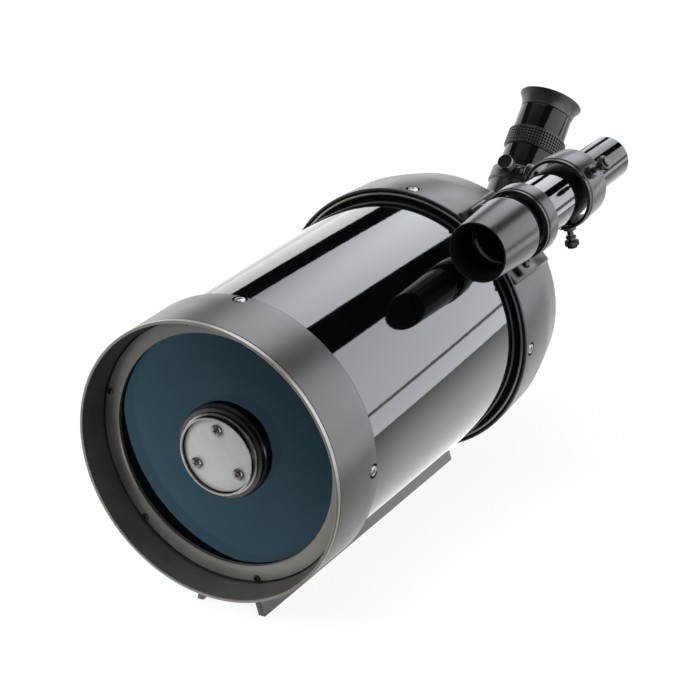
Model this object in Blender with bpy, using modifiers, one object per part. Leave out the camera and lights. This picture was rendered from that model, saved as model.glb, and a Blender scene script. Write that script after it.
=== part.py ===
"""A five inch Schmidt-Cassegrain telescope tube with its finder, diagonal and eyepiece.

All lengths are in metres. The tube lies along +Y with its front towards -Y, +Z is up, and the origin is
the middle of the mounting bar's underside. Stations are distances behind the front rim, along the optical
axis. A turned piece is given by an outer and an inner outline of (radius, station) points, each running
from the low station to the high one.
"""
import math

import bmesh
import bpy
from mathutils import Matrix

# Fits
SEAT_GAP = 0.0003
THREAD_GAP = 0.0003
HOLE_GAP = 0.0003

# Facets round a turned piece
LARGE_FACETS = 48
MEDIUM_FACETS = 28
SMALL_FACETS = 14
SCREW_FACETS = 8

# Main tube
TUBE_RADIUS = 0.0731
TUBE_WALL = 0.0018
TUBE_LENGTH = 0.1642
TUBE_SOCKET = 0.0108

# Front cell, corrector and retaining ring
FRONT_CELL_LENGTH = 0.038
FRONT_CELL_WALL = 0.0041
FRONT_LIP_CHAMFER = 0.0006
FRONT_LIP_DEPTH = 0.0008
RECESS_BORE_GAP = 0.0004
RETAINER_DEPTH = 0.0146
RETAINER_THICKNESS = 0.0026
RETAINER_WIDTH = 0.0093
RETAINER_BEVEL = 0.001
CORRECTOR_LEDGE = 0.0033
CORRECTOR_SEAT_WIDTH = 0.0033
CORRECTOR_THICKNESS = 0.0043

# Secondary mirror and its holder
HOLDER_RADIUS = 0.0252
HOLDER_PROUD = 0.0096
HOLDER_LIP_RADIUS = 0.0217
HOLDER_LIP_HEIGHT = 0.0041
HOLDER_RIM = 0.0012
HOLDER_RIM_CHAMFER = 0.0004
HOLDER_FLANGE_WIDTH = 0.0007
HOLDER_FLANGE_THICKNESS = 0.0017
HOLDER_SLEEVE_RADIUS = 0.0195
HOLDER_SLEEVE_WALL = 0.0012
HOLDER_SLEEVE_REACH = 0.005
HOLDER_FLOOR = 0.0037
HOLDER_FLOOR_BORE = 0.009
COVER_RECESS = 0.0018
COVER_THICKNESS = 0.0014
BACKPLATE_THICKNESS = 0.0036
BACKPLATE_STANDOFF = 0.0012
SECONDARY_THICKNESS = 0.006
SECONDARY_EDGE = 0.0008
BAFFLE_FLANGE_WIDTH = 0.0072
BAFFLE_FLANGE_THICKNESS = 0.002
BAFFLE_LENGTH = 0.026
BAFFLE_WALL = 0.0016
COLLIMATION_CIRCLE = 0.0145
COLLIMATION_TURN = math.radians(2)

# Rear cell
REAR_CELL_WALL = 0.0049
REAR_SIDE_LENGTH = 0.0358
REAR_DRAFT = 0.0016
REAR_SHOULDER = 0.027
REAR_BACK_WALL = 0.006
REAR_SIDE_WALL = 0.0068
PORT_BOSS_RADIUS = 0.024
PORT_BOSS_LENGTH = 0.003
PORT_SPIGOT_RADIUS = 0.0215
PORT_SPIGOT_LENGTH = 0.006

# Flat for the finder bracket, cast into the rear cell
FINDER_ANGLE = math.radians(45.8)
PAD_DROP = 0.002
PAD_WIDTH = 0.0506
PAD_LENGTH = 0.041
PAD_FRONT = 0.0003

# Primary mirror, its carrier and the focuser
BAFFLE_TUBE_RADIUS = 0.0163
BAFFLE_TUBE_WALL = 0.0015
BAFFLE_TUBE_REACH = 0.0842
BAFFLE_TUBE_FLANGE_RADIUS = 0.02
BAFFLE_TUBE_FLANGE = 0.003
CARRIER_WALL = 0.002
CARRIER_FRONT_LENGTH = 0.033
CARRIER_FLANGE_MARGIN = 0.0055
CARRIER_FLANGE = 0.004
CARRIER_REAR_LENGTH = 0.008
CARRIER_SETBACK = 0.0198
MIRROR_EDGE_GAP = 0.0071
MIRROR_THICKNESS = 0.0127
MIRROR_CURVE_RADIUS = 0.6
LOCK_RING_WIDTH = 0.0056
LOCK_RING_THICKNESS = 0.0032
FOCUS_ANGLE = math.radians(150)
FOCUS_COLLAR_RADIUS = 0.0118
FOCUS_COLLAR_THICKNESS = 0.0025
FOCUS_COLLAR_SPACE = 0.0007
FOCUS_HUB_RADIUS = 0.0077
FOCUS_KNOB_RADIUS = 0.0115
FOCUS_KNOB_LENGTH = 0.02
FOCUS_KNOB_ROUND = 0.0015
FOCUS_KNOB_END = 0.002
FOCUS_ROD_RADIUS = 0.003
FOCUS_ROD_LENGTH = 0.0487

# Visual back
BARREL_RADIUS = 0.01585
VISUAL_BACK_WALL = 0.00335
VISUAL_BACK_LENGTH = 0.0207
VISUAL_BACK_FLANGE_WIDTH = 0.0019
VISUAL_BACK_FLANGE = 0.002
SLIP_RING_WALL = 0.0026
SLIP_RING_LIP = 0.0024
VISUAL_BACK_SCREW_INSET = 0.0075
VISUAL_BACK_SCREW_ANGLE = math.radians(40)

# Diagonal
BARREL_WALL = 0.0023
DIAGONAL_ANGLE = math.radians(45)
NOSE_LENGTH = 0.018
NOSE_COLLAR_LENGTH = 0.0025
NOSE_COLLAR_WIDTH = 0.0026
DIAGONAL_REACH = 0.02
DIAGONAL_HALF_HEIGHT = 0.019
DIAGONAL_HALF_WIDTH = 0.019
DIAGONAL_WALL = 0.0022
DIAGONAL_COVER = 0.002
DIAGONAL_EDGE = 0.0012
HOLDER_TUBE_WALL = 0.00245
HOLDER_TUBE_LENGTH = 0.0298
HOLDER_STOP = 0.0057
HOLDER_COLLAR_WIDTH = 0.0012
HOLDER_COLLAR_LENGTH = 0.009
HOLDER_COLLAR_ROUND = 0.0009
HOLDER_SCREW_INSET = 0.0046
SET_SCREW_TURN = math.radians(16)

# Eyepiece
EYEPIECE_INSERTION = 0.0204
EYEPIECE_RADIUS = 0.0161
EYEPIECE_SKIRT_STEP = 0.0005
EYEPIECE_SKIRT_LENGTH = 0.0144
EYEPIECE_SPIGOT = 0.0045
EYEPIECE_SPIGOT_WALL = 0.001
GRIP_LENGTH = 0.0125
GRIP_DEPTH = 0.0009
GRIP_THICKNESS = 0.0025
EYEPIECE_TOP_LENGTH = 0.0152
EYEPIECE_NECK_STEP = 0.0019
EYEPIECE_NECK_LENGTH = 0.0045
EYEPIECE_BORE = 0.013
EYE_BORE = 0.011
EYE_BORE_DEPTH = 0.007
FIELD_LENS_THICKNESS = 0.0034
EYE_LENS_THICKNESS = 0.004
EYECUP_LENGTH = 0.0086
EYECUP_FLARE = 0.0031
EYECUP_EDGE = 0.0013

# Finder, with stations measured from its pivot in the front ring of the bracket
FINDER_HEIGHT = 0.0285
FINDER_PIVOT_AHEAD = 0.0052
FINDER_TUBE_RADIUS = 0.016
FINDER_TUBE_WALL = 0.0014
FINDER_TUBE_FRONT = 0.0152
FINDER_TUBE_REAR = 0.07
FINDER_END_RING = 0.008
OBJECTIVE_FRONT = 0.0456
OBJECTIVE_REAR = 0.0104
OBJECTIVE_RADIUS = 0.0169
OBJECTIVE_REAR_RADIUS = 0.0189
OBJECTIVE_WALL = 0.001
OBJECTIVE_STOP_WIDTH = 0.0021
OBJECTIVE_STOP_AHEAD = 0.0028
OBJECTIVE_LENS_THICKNESS = 0.0043
FINDER_LOCK_RING_THICKNESS = 0.0027
FINDER_LOCK_RING_WIDTH = 0.0021
O_RING_SECTION = 0.0009
FRONT_RING_WALL = 0.0019
FRONT_RING_AHEAD = 0.0021
FRONT_RING_BEHIND = 0.01
REAR_RING_BORE = 0.0187
REAR_RING_WALL = 0.0022
REAR_RING_TAPER = 0.001
REAR_RING_FRONT = 0.0485
REAR_RING_LENGTH = 0.0223
FINDER_EYE_RADIUS = 0.013
FINDER_EYE_WALL = 0.0016
FINDER_EYE_REACH = 0.045
FINDER_EYE_INSERTION = 0.01
FINDER_EYE_END = 0.006
FINDER_EYE_HOLE = 0.0065
FINDER_EYE_LENS_SETBACK = 0.011
FINDER_EYE_LENS_THICKNESS = 0.004
FINDER_SCREW_STATION = 0.058
FINDER_SCREW_TURN = math.radians(5)
FINDER_SCREW_SPREAD = math.radians(120)
BOSS_RADIUS = 0.0038
BOSS_HEIGHT = 0.0025
RAIL_WIDTH = 0.016
FOOT_THICKNESS = 0.003
FOOT_WIDTH = 0.047
FOOT_LENGTH = 0.017
FOOT_STATION = 0.0205
FOOT_SCREW_SPACING = 0.038

# Mounting bar
BAR_SETBACK = 0.0143
BAR_REAR_OVERLAP = 0.0171
BAR_WIDTH = 0.0424
BAR_HEIGHT = 0.0121
BAR_SIDE_ANGLE = math.radians(15)
BAR_FLANGE = 0.004
BAR_WEB = 0.0046
BOSS_LENGTH = 0.07
TRIPOD_HOLE_RADIUS = 0.0032
TRIPOD_HOLE_SPACING = 0.04
SADDLE_WIDTH = 0.028
SADDLE_HEIGHT = 0.0004
SADDLE_INSET = 0.003
BAR_SCREW_FRONT_STATION = 0.0225
BAR_SCREW_REAR_INSET = 0.0088

# Fasteners
FRONT_SCREW_TURN = math.radians(1.5)
REAR_SCREW_TURN = math.radians(3.5)
FRONT_SCREW_INSET = 0.0037
REAR_SCREW_INSET = 0.0063
CELL_SCREW_RADIUS = 0.0016
CELL_SCREW_HEAD = 0.0027
CELL_SCREW_HEAD_HEIGHT = 0.0016
CELL_SCREW_PAST_TUBE = 0.0008
COLLIMATION_SCREW_RADIUS = 0.0015
COLLIMATION_HEAD = 0.0031
COLLIMATION_HEAD_HEIGHT = 0.0018
COLLIMATION_GRIP = 0.002
BAR_SCREW_RADIUS = 0.0024
BAR_SCREW_HEAD = 0.0042
BAR_SCREW_HEAD_HEIGHT = 0.003
BAR_SCREW_GRIP = 0.0035
FOOT_SCREW_RADIUS = 0.0019
FOOT_SCREW_HEAD = 0.0034
FOOT_SCREW_HEAD_HEIGHT = 0.0024
FOOT_SCREW_GRIP = 0.004
THUMB_SHANK_RADIUS = 0.0018
THUMB_HEAD_RADIUS = 0.0042
LOCK_HEAD_RADIUS = 0.0049
THUMB_HEAD_LENGTH = 0.0062
THUMB_NECK = 0.0045
THUMB_HEAD_CHAMFER = 0.0006
SET_SCREW_RADIUS = 0.0013
SET_SCREW_HEAD = 0.0024
SET_SCREW_HEAD_HEIGHT = 0.003
PLUNGER_CAP_RADIUS = 0.0032
PLUNGER_CAP_HEIGHT = 0.0016

# Stations and radii that follow from the sizes above
SOCKET_RADIUS = TUBE_RADIUS + SEAT_GAP
FRONT_CELL_RADIUS = SOCKET_RADIUS + FRONT_CELL_WALL
RECESS_RADIUS = TUBE_RADIUS + RECESS_BORE_GAP
TUBE_FRONT = FRONT_CELL_LENGTH - TUBE_SOCKET
RETAINER_REAR = RETAINER_DEPTH + RETAINER_THICKNESS
CORRECTOR_FRONT = RETAINER_REAR + SEAT_GAP
CORRECTOR_REAR = CORRECTOR_FRONT + CORRECTOR_THICKNESS
CORRECTOR_RADIUS = RECESS_RADIUS - CORRECTOR_LEDGE - 2 * SEAT_GAP
HOLDER_FRONT = CORRECTOR_FRONT - HOLDER_PROUD
COVER_FRONT = HOLDER_FRONT + COVER_RECESS
COVER_REAR = COVER_FRONT + COVER_THICKNESS
HOLDER_FLOOR_REAR = COVER_REAR + SEAT_GAP + HOLDER_FLOOR
BACKPLATE_FRONT = HOLDER_FLOOR_REAR + BACKPLATE_STANDOFF
BACKPLATE_REAR = BACKPLATE_FRONT + BACKPLATE_THICKNESS
REAR_FRONT = FRONT_CELL_LENGTH + TUBE_LENGTH
TUBE_REAR = REAR_FRONT + TUBE_SOCKET
REAR_CELL_RADIUS = SOCKET_RADIUS + REAR_CELL_WALL
REAR_SIDE_END = REAR_FRONT + REAR_SIDE_LENGTH
REAR_BACK = REAR_SIDE_END + REAR_SHOULDER
REAR_INNER_BACK = REAR_BACK - REAR_BACK_WALL
PORT_SHOULDER = REAR_BACK + PORT_BOSS_LENGTH
PORT_END = PORT_SHOULDER + PORT_SPIGOT_LENGTH
PORT_BORE = BAFFLE_TUBE_RADIUS + THREAD_GAP
CARRIER_FACE = REAR_FRONT + CARRIER_SETBACK
CARRIER_BACK = CARRIER_FACE + CARRIER_FLANGE
CARRIER_BORE = BAFFLE_TUBE_RADIUS + SEAT_GAP
CARRIER_RADIUS = CARRIER_BORE + CARRIER_WALL
MIRROR_RADIUS = TUBE_RADIUS - MIRROR_EDGE_GAP
MIRROR_REAR = CARRIER_FACE - SEAT_GAP
MIRROR_FRONT = MIRROR_REAR - MIRROR_THICKNESS
FOCUS_OFFSET = PORT_BOSS_RADIUS + FOCUS_COLLAR_RADIUS + FOCUS_COLLAR_SPACE
CARRIER_FLANGE_RADIUS = FOCUS_OFFSET + CARRIER_FLANGE_MARGIN
FOCUS_COLLAR_FRONT = REAR_BACK + SEAT_GAP
FOCUS_COLLAR_REAR = FOCUS_COLLAR_FRONT + FOCUS_COLLAR_THICKNESS
FOCUS_KNOB_FRONT = FOCUS_COLLAR_REAR + SEAT_GAP
FOCUS_KNOB_REAR = FOCUS_KNOB_FRONT + FOCUS_KNOB_LENGTH
BARREL_BORE = BARREL_RADIUS + SEAT_GAP
VISUAL_BACK_RADIUS = BARREL_BORE + VISUAL_BACK_WALL
VISUAL_BACK_FRONT = PORT_END + SEAT_GAP
VISUAL_BACK_FLANGE_REAR = VISUAL_BACK_FRONT + VISUAL_BACK_FLANGE
VISUAL_BACK_REAR = VISUAL_BACK_FRONT + VISUAL_BACK_LENGTH
NOSE_COLLAR_FRONT = VISUAL_BACK_REAR + SEAT_GAP
NOSE_REAR = NOSE_COLLAR_FRONT + NOSE_COLLAR_LENGTH
DIAGONAL_STATION = NOSE_REAR + SEAT_GAP + DIAGONAL_REACH
LIGHT_BORE = BARREL_RADIUS - BARREL_WALL
HOLDER_TUBE_RADIUS = BARREL_BORE + HOLDER_TUBE_WALL
HOLDER_TUBE_START = DIAGONAL_REACH + SEAT_GAP
HOLDER_TUBE_END = HOLDER_TUBE_START + HOLDER_TUBE_LENGTH
HOLDER_COLLAR_RADIUS = HOLDER_TUBE_RADIUS + HOLDER_COLLAR_WIDTH
SKIRT_START = HOLDER_TUBE_END + 2 * SEAT_GAP
SKIRT_END = SKIRT_START + EYEPIECE_SKIRT_LENGTH
TOP_START = SKIRT_END + GRIP_LENGTH
TOP_END = TOP_START + EYEPIECE_TOP_LENGTH
NECK_RADIUS = EYEPIECE_RADIUS - EYEPIECE_NECK_STEP
NECK_END = TOP_END + EYEPIECE_NECK_LENGTH
GRIP_SEAT_RADIUS = EYEPIECE_RADIUS - GRIP_DEPTH
BARREL_SPIGOT_RADIUS = LIGHT_BORE + EYEPIECE_SPIGOT_WALL
FINDER_STATION = REAR_FRONT - FINDER_PIVOT_AHEAD
PAD_RADIUS = REAR_CELL_RADIUS - PAD_DROP
FINDER_OFFSET = PAD_RADIUS + FINDER_HEIGHT
O_RING_INNER = FINDER_TUBE_RADIUS + SEAT_GAP
FRONT_RING_BORE = O_RING_INNER + 2 * O_RING_SECTION + SEAT_GAP
FINDER_THREAD_BORE = FINDER_TUBE_RADIUS + THREAD_GAP
REAR_RING_END = REAR_RING_FRONT + REAR_RING_LENGTH
FINDER_EYE_FRONT = FINDER_TUBE_REAR - FINDER_EYE_INSERTION
FINDER_EYE_REAR = FINDER_TUBE_REAR + FINDER_EYE_REACH
FOOT_UNDERSIDE = FINDER_OFFSET - PAD_RADIUS - SEAT_GAP
FOOT_TOP = FOOT_UNDERSIDE - FOOT_THICKNESS
SADDLE_REACH = max(FRONT_CELL_RADIUS, REAR_CELL_RADIUS) + SADDLE_HEIGHT
AXIS_HEIGHT = BAR_HEIGHT + SEAT_GAP + SADDLE_REACH
BAR_REAR = REAR_FRONT + BAR_REAR_OVERLAP
BAR_LENGTH = BAR_REAR - BAR_SETBACK
BAR_MIDDLE = BAR_SETBACK + BAR_LENGTH / 2
BAR_SCREW_REAR_STATION = REAR_FRONT + BAR_SCREW_REAR_INSET
CHANNEL_ROOF = BAR_HEIGHT - BAR_WEB

# Margin by which a cutter runs past the face that it opens
CUT_PAST = 0.001


def clear_scene():
    """Remove every object, and make one collection for the parts and one for the cutters."""
    for old in list(bpy.data.objects):
        bpy.data.objects.remove(old, do_unlink=True)
    groups = []
    for title in ("schmidt_cassegrain_telescope", "cutters"):
        group = bpy.data.collections.new(title)
        bpy.context.scene.collection.children.link(group)
        groups.append(group)
    return groups


PARTS, CUTTERS = clear_scene()


def finish(name, colour, roughness, metallic=0.0):
    """A plain Principled material."""
    material = bpy.data.materials.new(name)
    material.use_nodes = True
    shader = material.node_tree.nodes["Principled BSDF"]
    shader.inputs["Base Color"].default_value = (*colour, 1.0)
    shader.inputs["Roughness"].default_value = roughness
    shader.inputs["Metallic"].default_value = metallic
    return material


GLOSS_BLACK = finish("gloss_black_paint", (0.010, 0.011, 0.012), 0.12)
SATIN_GREY = finish("satin_grey_casting", (0.075, 0.078, 0.080), 0.45)
MATTE_GREY = finish("matte_grey_paint", (0.085, 0.085, 0.083), 0.6)
MATTE_BLACK = finish("matte_black", (0.012, 0.012, 0.013), 0.7)
BLACK_METAL = finish("black_anodised", (0.025, 0.025, 0.026), 0.35, 0.6)
STEEL = finish("dark_steel", (0.20, 0.20, 0.20), 0.35, 1.0)
SILVER_PLATE = finish("grained_silver", (0.42, 0.44, 0.42), 0.5, 0.4)
RUBBER = finish("black_rubber", (0.018, 0.018, 0.018), 0.8)
GLASS = finish("coated_glass", (0.03, 0.06, 0.09), 0.05)
MIRROR = finish("mirror_coating", (0.80, 0.82, 0.84), 0.03, 1.0)
BARE_METAL = finish("bare_aluminium", (0.60, 0.60, 0.60), 0.35, 1.0)


def pivot(name, parent=None, location=(0, 0, 0), rotation=(0, 0, 0)):
    """An empty that carries pieces or marks a joint's axis."""
    empty = bpy.data.objects.new(name, None)
    PARTS.objects.link(empty)
    return place(empty, parent, location, rotation)


def place(item, parent=None, location=(0, 0, 0), rotation=(0, 0, 0)):
    """Put an object under its parent at a place and a turn."""
    item.parent = parent
    item.location = location
    item.rotation_euler = rotation
    return item


def add_object(name, mesh, material):
    """A part where a material is given, and a hidden cutter where none is."""
    item = bpy.data.objects.new(name, mesh)
    if material:
        mesh.materials.append(material)
        PARTS.objects.link(item)
    else:
        CUTTERS.objects.link(item)
        item.hide_render = True
        item.display_type = "WIRE"
    return item


def turned(name, material, outer, inner=None, facets=MEDIUM_FACETS):
    """A shape turned about local Z. An inner outline that ends on the axis is a blind bore."""
    outline = list(reversed(outer)) + list(inner or [])
    if not inner:
        outline.append((0.0, outer[0][1]))
    closed = outline[-1][0] > 0
    if not closed:
        outline.insert(0, (0.0, outer[-1][1]))
    edges = [(i, i + 1) for i in range(len(outline) - 1)]
    if closed:
        edges.append((len(outline) - 1, 0))
    mesh = bpy.data.meshes.new(name)
    mesh.from_pydata([(radius, 0.0, station) for radius, station in outline], edges, [])
    item = add_object(name, mesh, material)
    screw = item.modifiers.new("turn", "SCREW")
    screw.axis = "Z"
    screw.angle = math.tau
    screw.steps = facets
    screw.render_steps = facets
    screw.use_merge_vertices = True
    screw.merge_threshold = 0.00001
    return item


def block(name, material, low, high):
    """A box between two corners."""
    mesh = bpy.data.meshes.new(name)
    size = [high[i] - low[i] for i in range(3)]
    middle = [(high[i] + low[i]) / 2 for i in range(3)]
    shape = bmesh.new()
    bmesh.ops.create_cube(shape, size=1.0, matrix=Matrix.Translation(middle) @ Matrix.Diagonal((*size, 1.0)))
    shape.to_mesh(mesh)
    shape.free()
    return add_object(name, mesh, material)


def slab(name, material, outline, thickness):
    """A flat outline in local XY, extruded evenly about Z and made a mesh with welded caps."""
    curve = bpy.data.curves.new(name, "CURVE")
    curve.dimensions = "2D"
    curve.fill_mode = "BOTH"
    curve.extrude = thickness / 2
    spline = curve.splines.new("POLY")
    spline.points.add(len(outline) - 1)
    for point, (x, y) in zip(spline.points, outline):
        point.co = (x, y, 0.0, 1.0)
    spline.use_cyclic_u = True
    drawn = bpy.data.objects.new(name + "_outline", curve)
    CUTTERS.objects.link(drawn)
    graph = bpy.context.evaluated_depsgraph_get()
    mesh = bpy.data.meshes.new_from_object(drawn.evaluated_get(graph))
    bpy.data.objects.remove(drawn)
    shape = bmesh.new()
    shape.from_mesh(mesh)
    bmesh.ops.remove_doubles(shape, verts=shape.verts, dist=0.000001)
    bmesh.ops.recalc_face_normals(shape, faces=shape.faces)
    shape.to_mesh(mesh)
    shape.free()
    mesh.name = name
    mesh.materials.clear()
    return add_object(name, mesh, material)


def combine(item, other, operation):
    """Join another shape to a part, or cut it out. The exact solver leaves bad edges in three of the parts."""
    step = item.modifiers.new(other.name, "BOOLEAN")
    step.operation = operation
    step.object = other
    step.solver = "MANIFOLD" if item.name in ("front_cell", "rear_cell", "finder_bracket") else "EXACT"
    return item


def soften(item, width):
    """Chamfer the sharp edges of a block or a slab."""
    bevel = item.modifiers.new("edge", "BEVEL")
    bevel.width = width
    bevel.segments = 1
    bevel.limit_method = "ANGLE"
    return item


def radial(item, parent, angle, station):
    """Turn a piece so that its own axis points outwards at an angle about its parent's axis."""
    return place(item, parent, (0, 0, station), (0, math.pi / 2, angle))


def arc(centre_radius, centre_station, radius, start, stop, steps):
    """Outline points along an arc, with the angle measured from outwards towards the rear."""
    points = []
    for i in range(steps + 1):
        angle = start + (stop - start) * i / steps
        points.append((centre_radius + radius * math.cos(angle), centre_station + radius * math.sin(angle)))
    return points


def inset(outline, distance):
    """The outline of a convex shape drawn in by a distance, points running anticlockwise."""
    lines = []
    for i, (x, y) in enumerate(outline):
        far_x, far_y = outline[(i + 1) % len(outline)]
        length = math.hypot(far_x - x, far_y - y)
        normal = ((y - far_y) / length, (far_x - x) / length)
        lines.append((*normal, normal[0] * x + normal[1] * y + distance))
    points = []
    for i, (a, b, c) in enumerate(lines):
        p, q, r = lines[i - 1]
        scale = a * q - p * b
        points.append(((c * q - r * b) / scale, (a * r - p * c) / scale))
    return points


def headed(name, radius, head, low, seat, top, facets=SCREW_FACETS, material=STEEL):
    """A screw with a slightly crowned head, from its tip up to the top of the head."""
    crown = (top - seat) / 3
    outer = [(radius, low), (radius, seat), (head, seat), (head, top - crown), (head - crown, top)]
    return turned(name, material, outer, facets=facets)


def hole(name, radius, low, high, facets=SCREW_FACETS):
    """A round cutter between two stations."""
    return turned(name, None, [(radius, low), (radius, high)], facets=facets)


def thumbscrew(name, tip, collar_radius, head_radius):
    """A knurled thumbscrew whose tip stands at a radius and whose head clears a collar."""
    seat = collar_radius + THUMB_NECK
    top = seat + THUMB_HEAD_LENGTH
    outer = [
        (THUMB_SHANK_RADIUS, tip),
        (THUMB_SHANK_RADIUS, seat),
        (head_radius - THUMB_HEAD_CHAMFER, seat),
        (head_radius, seat + THUMB_HEAD_CHAMFER),
        (head_radius, top - THUMB_HEAD_CHAMFER),
        (head_radius - THUMB_HEAD_CHAMFER, top),
    ]
    return turned(name, BLACK_METAL, outer, facets=SMALL_FACETS)


# The optical axis runs along the carrier's local +Z, with local -Y up
AXIS = pivot("optical_axis", None, (0, -BAR_MIDDLE, AXIS_HEIGHT), (-math.pi / 2, 0, 0))
TOP_ANGLE = -math.pi / 2
SIDE_ANGLES = {"a": TOP_ANGLE, "b": 0.0, "c": math.pi}


def saddle(name, front, rear, station):
    """A flat under a cell where the mounting bar is screwed on, with the screw's blind hole."""
    half = SADDLE_WIDTH / 2
    flat = block(name, None, (-half, SADDLE_REACH / 2, front), (half, SADDLE_REACH, rear))
    place(flat, AXIS)
    tapped = hole(name + "_hole", BAR_SCREW_RADIUS + HOLE_GAP, SADDLE_REACH - BAR_SCREW_GRIP - HOLE_GAP,
                  SADDLE_REACH + CUT_PAST)
    radial(tapped, AXIS, math.pi / 2, station)
    return flat, tapped


def cell_screws(prefix, seat_radius, station, turn, drilled):
    """Three screws round a cell, through the cell into the tube. The mounting bar takes the fourth place."""
    tip = TUBE_RADIUS - TUBE_WALL - CELL_SCREW_PAST_TUBE
    for letter, angle in SIDE_ANGLES.items():
        seat = seat_radius + SEAT_GAP
        screw = headed(f"{prefix}_screw_{letter}", CELL_SCREW_RADIUS, CELL_SCREW_HEAD, tip, seat,
                       seat + CELL_SCREW_HEAD_HEIGHT)
        radial(screw, AXIS, angle + turn, station)
        drill = hole(f"{prefix}_drill_{letter}", CELL_SCREW_RADIUS + HOLE_GAP, tip - CUT_PAST, seat + CUT_PAST)
        radial(drill, AXIS, angle + turn, station)
        for item in drilled:
            combine(item, drill, "DIFFERENCE")


def front_end():
    """The tube and the cell at its front, with the corrector and its retaining ring."""
    inner_tube = TUBE_RADIUS - TUBE_WALL
    tube = turned("optical_tube", GLOSS_BLACK, [(TUBE_RADIUS, TUBE_FRONT + SEAT_GAP), (TUBE_RADIUS, TUBE_REAR)],
                  [(inner_tube, TUBE_FRONT + SEAT_GAP), (inner_tube, TUBE_REAR)], LARGE_FACETS)
    place(tube, AXIS)

    cell = turned("front_cell", MATTE_GREY, [
        (FRONT_CELL_RADIUS - FRONT_LIP_CHAMFER, 0.0),
        (FRONT_CELL_RADIUS, FRONT_LIP_DEPTH),
        (FRONT_CELL_RADIUS, FRONT_CELL_LENGTH),
    ], facets=LARGE_FACETS)
    place(cell, AXIS)
    flat, tapped = saddle("front_saddle", BAR_SETBACK + SADDLE_INSET, FRONT_CELL_LENGTH - SADDLE_INSET,
                          BAR_SCREW_FRONT_STATION)
    ledge = CORRECTOR_RADIUS + SEAT_GAP
    seat = CORRECTOR_REAR + SEAT_GAP
    opening = ledge - CORRECTOR_SEAT_WIDTH
    cavity = turned("front_cavity", None, [
        (RECESS_RADIUS, -CUT_PAST),
        (RECESS_RADIUS, RETAINER_REAR + SEAT_GAP),
        (ledge, RETAINER_REAR + SEAT_GAP),
        (ledge, seat),
        (opening, seat),
        (opening, TUBE_FRONT),
        (SOCKET_RADIUS, TUBE_FRONT),
        (SOCKET_RADIUS, FRONT_CELL_LENGTH + CUT_PAST),
    ], facets=LARGE_FACETS)
    place(cavity, AXIS)
    combine(cell, flat, "UNION")
    combine(cell, cavity, "DIFFERENCE")
    cell_screws("front_cell", FRONT_CELL_RADIUS, FRONT_CELL_LENGTH - FRONT_SCREW_INSET, FRONT_SCREW_TURN,
                (cell, tube))
    combine(cell, tapped, "DIFFERENCE")

    ring_outer = RECESS_RADIUS - SEAT_GAP
    aperture = RECESS_RADIUS - RETAINER_WIDTH
    ring = turned("corrector_retaining_ring", MATTE_GREY,
                  [(ring_outer, RETAINER_DEPTH), (ring_outer, RETAINER_REAR)],
                  [(aperture + RETAINER_BEVEL, RETAINER_DEPTH), (aperture, RETAINER_DEPTH + RETAINER_BEVEL),
                   (aperture, RETAINER_REAR)], LARGE_FACETS)
    place(ring, AXIS)

    bore = HOLDER_SLEEVE_RADIUS + SEAT_GAP
    plate = turned("corrector_plate", GLASS,
                   [(CORRECTOR_RADIUS, CORRECTOR_FRONT), (CORRECTOR_RADIUS, CORRECTOR_REAR)],
                   [(bore, CORRECTOR_FRONT), (bore, CORRECTOR_REAR)], LARGE_FACETS)
    place(plate, AXIS)
    return tube


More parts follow.
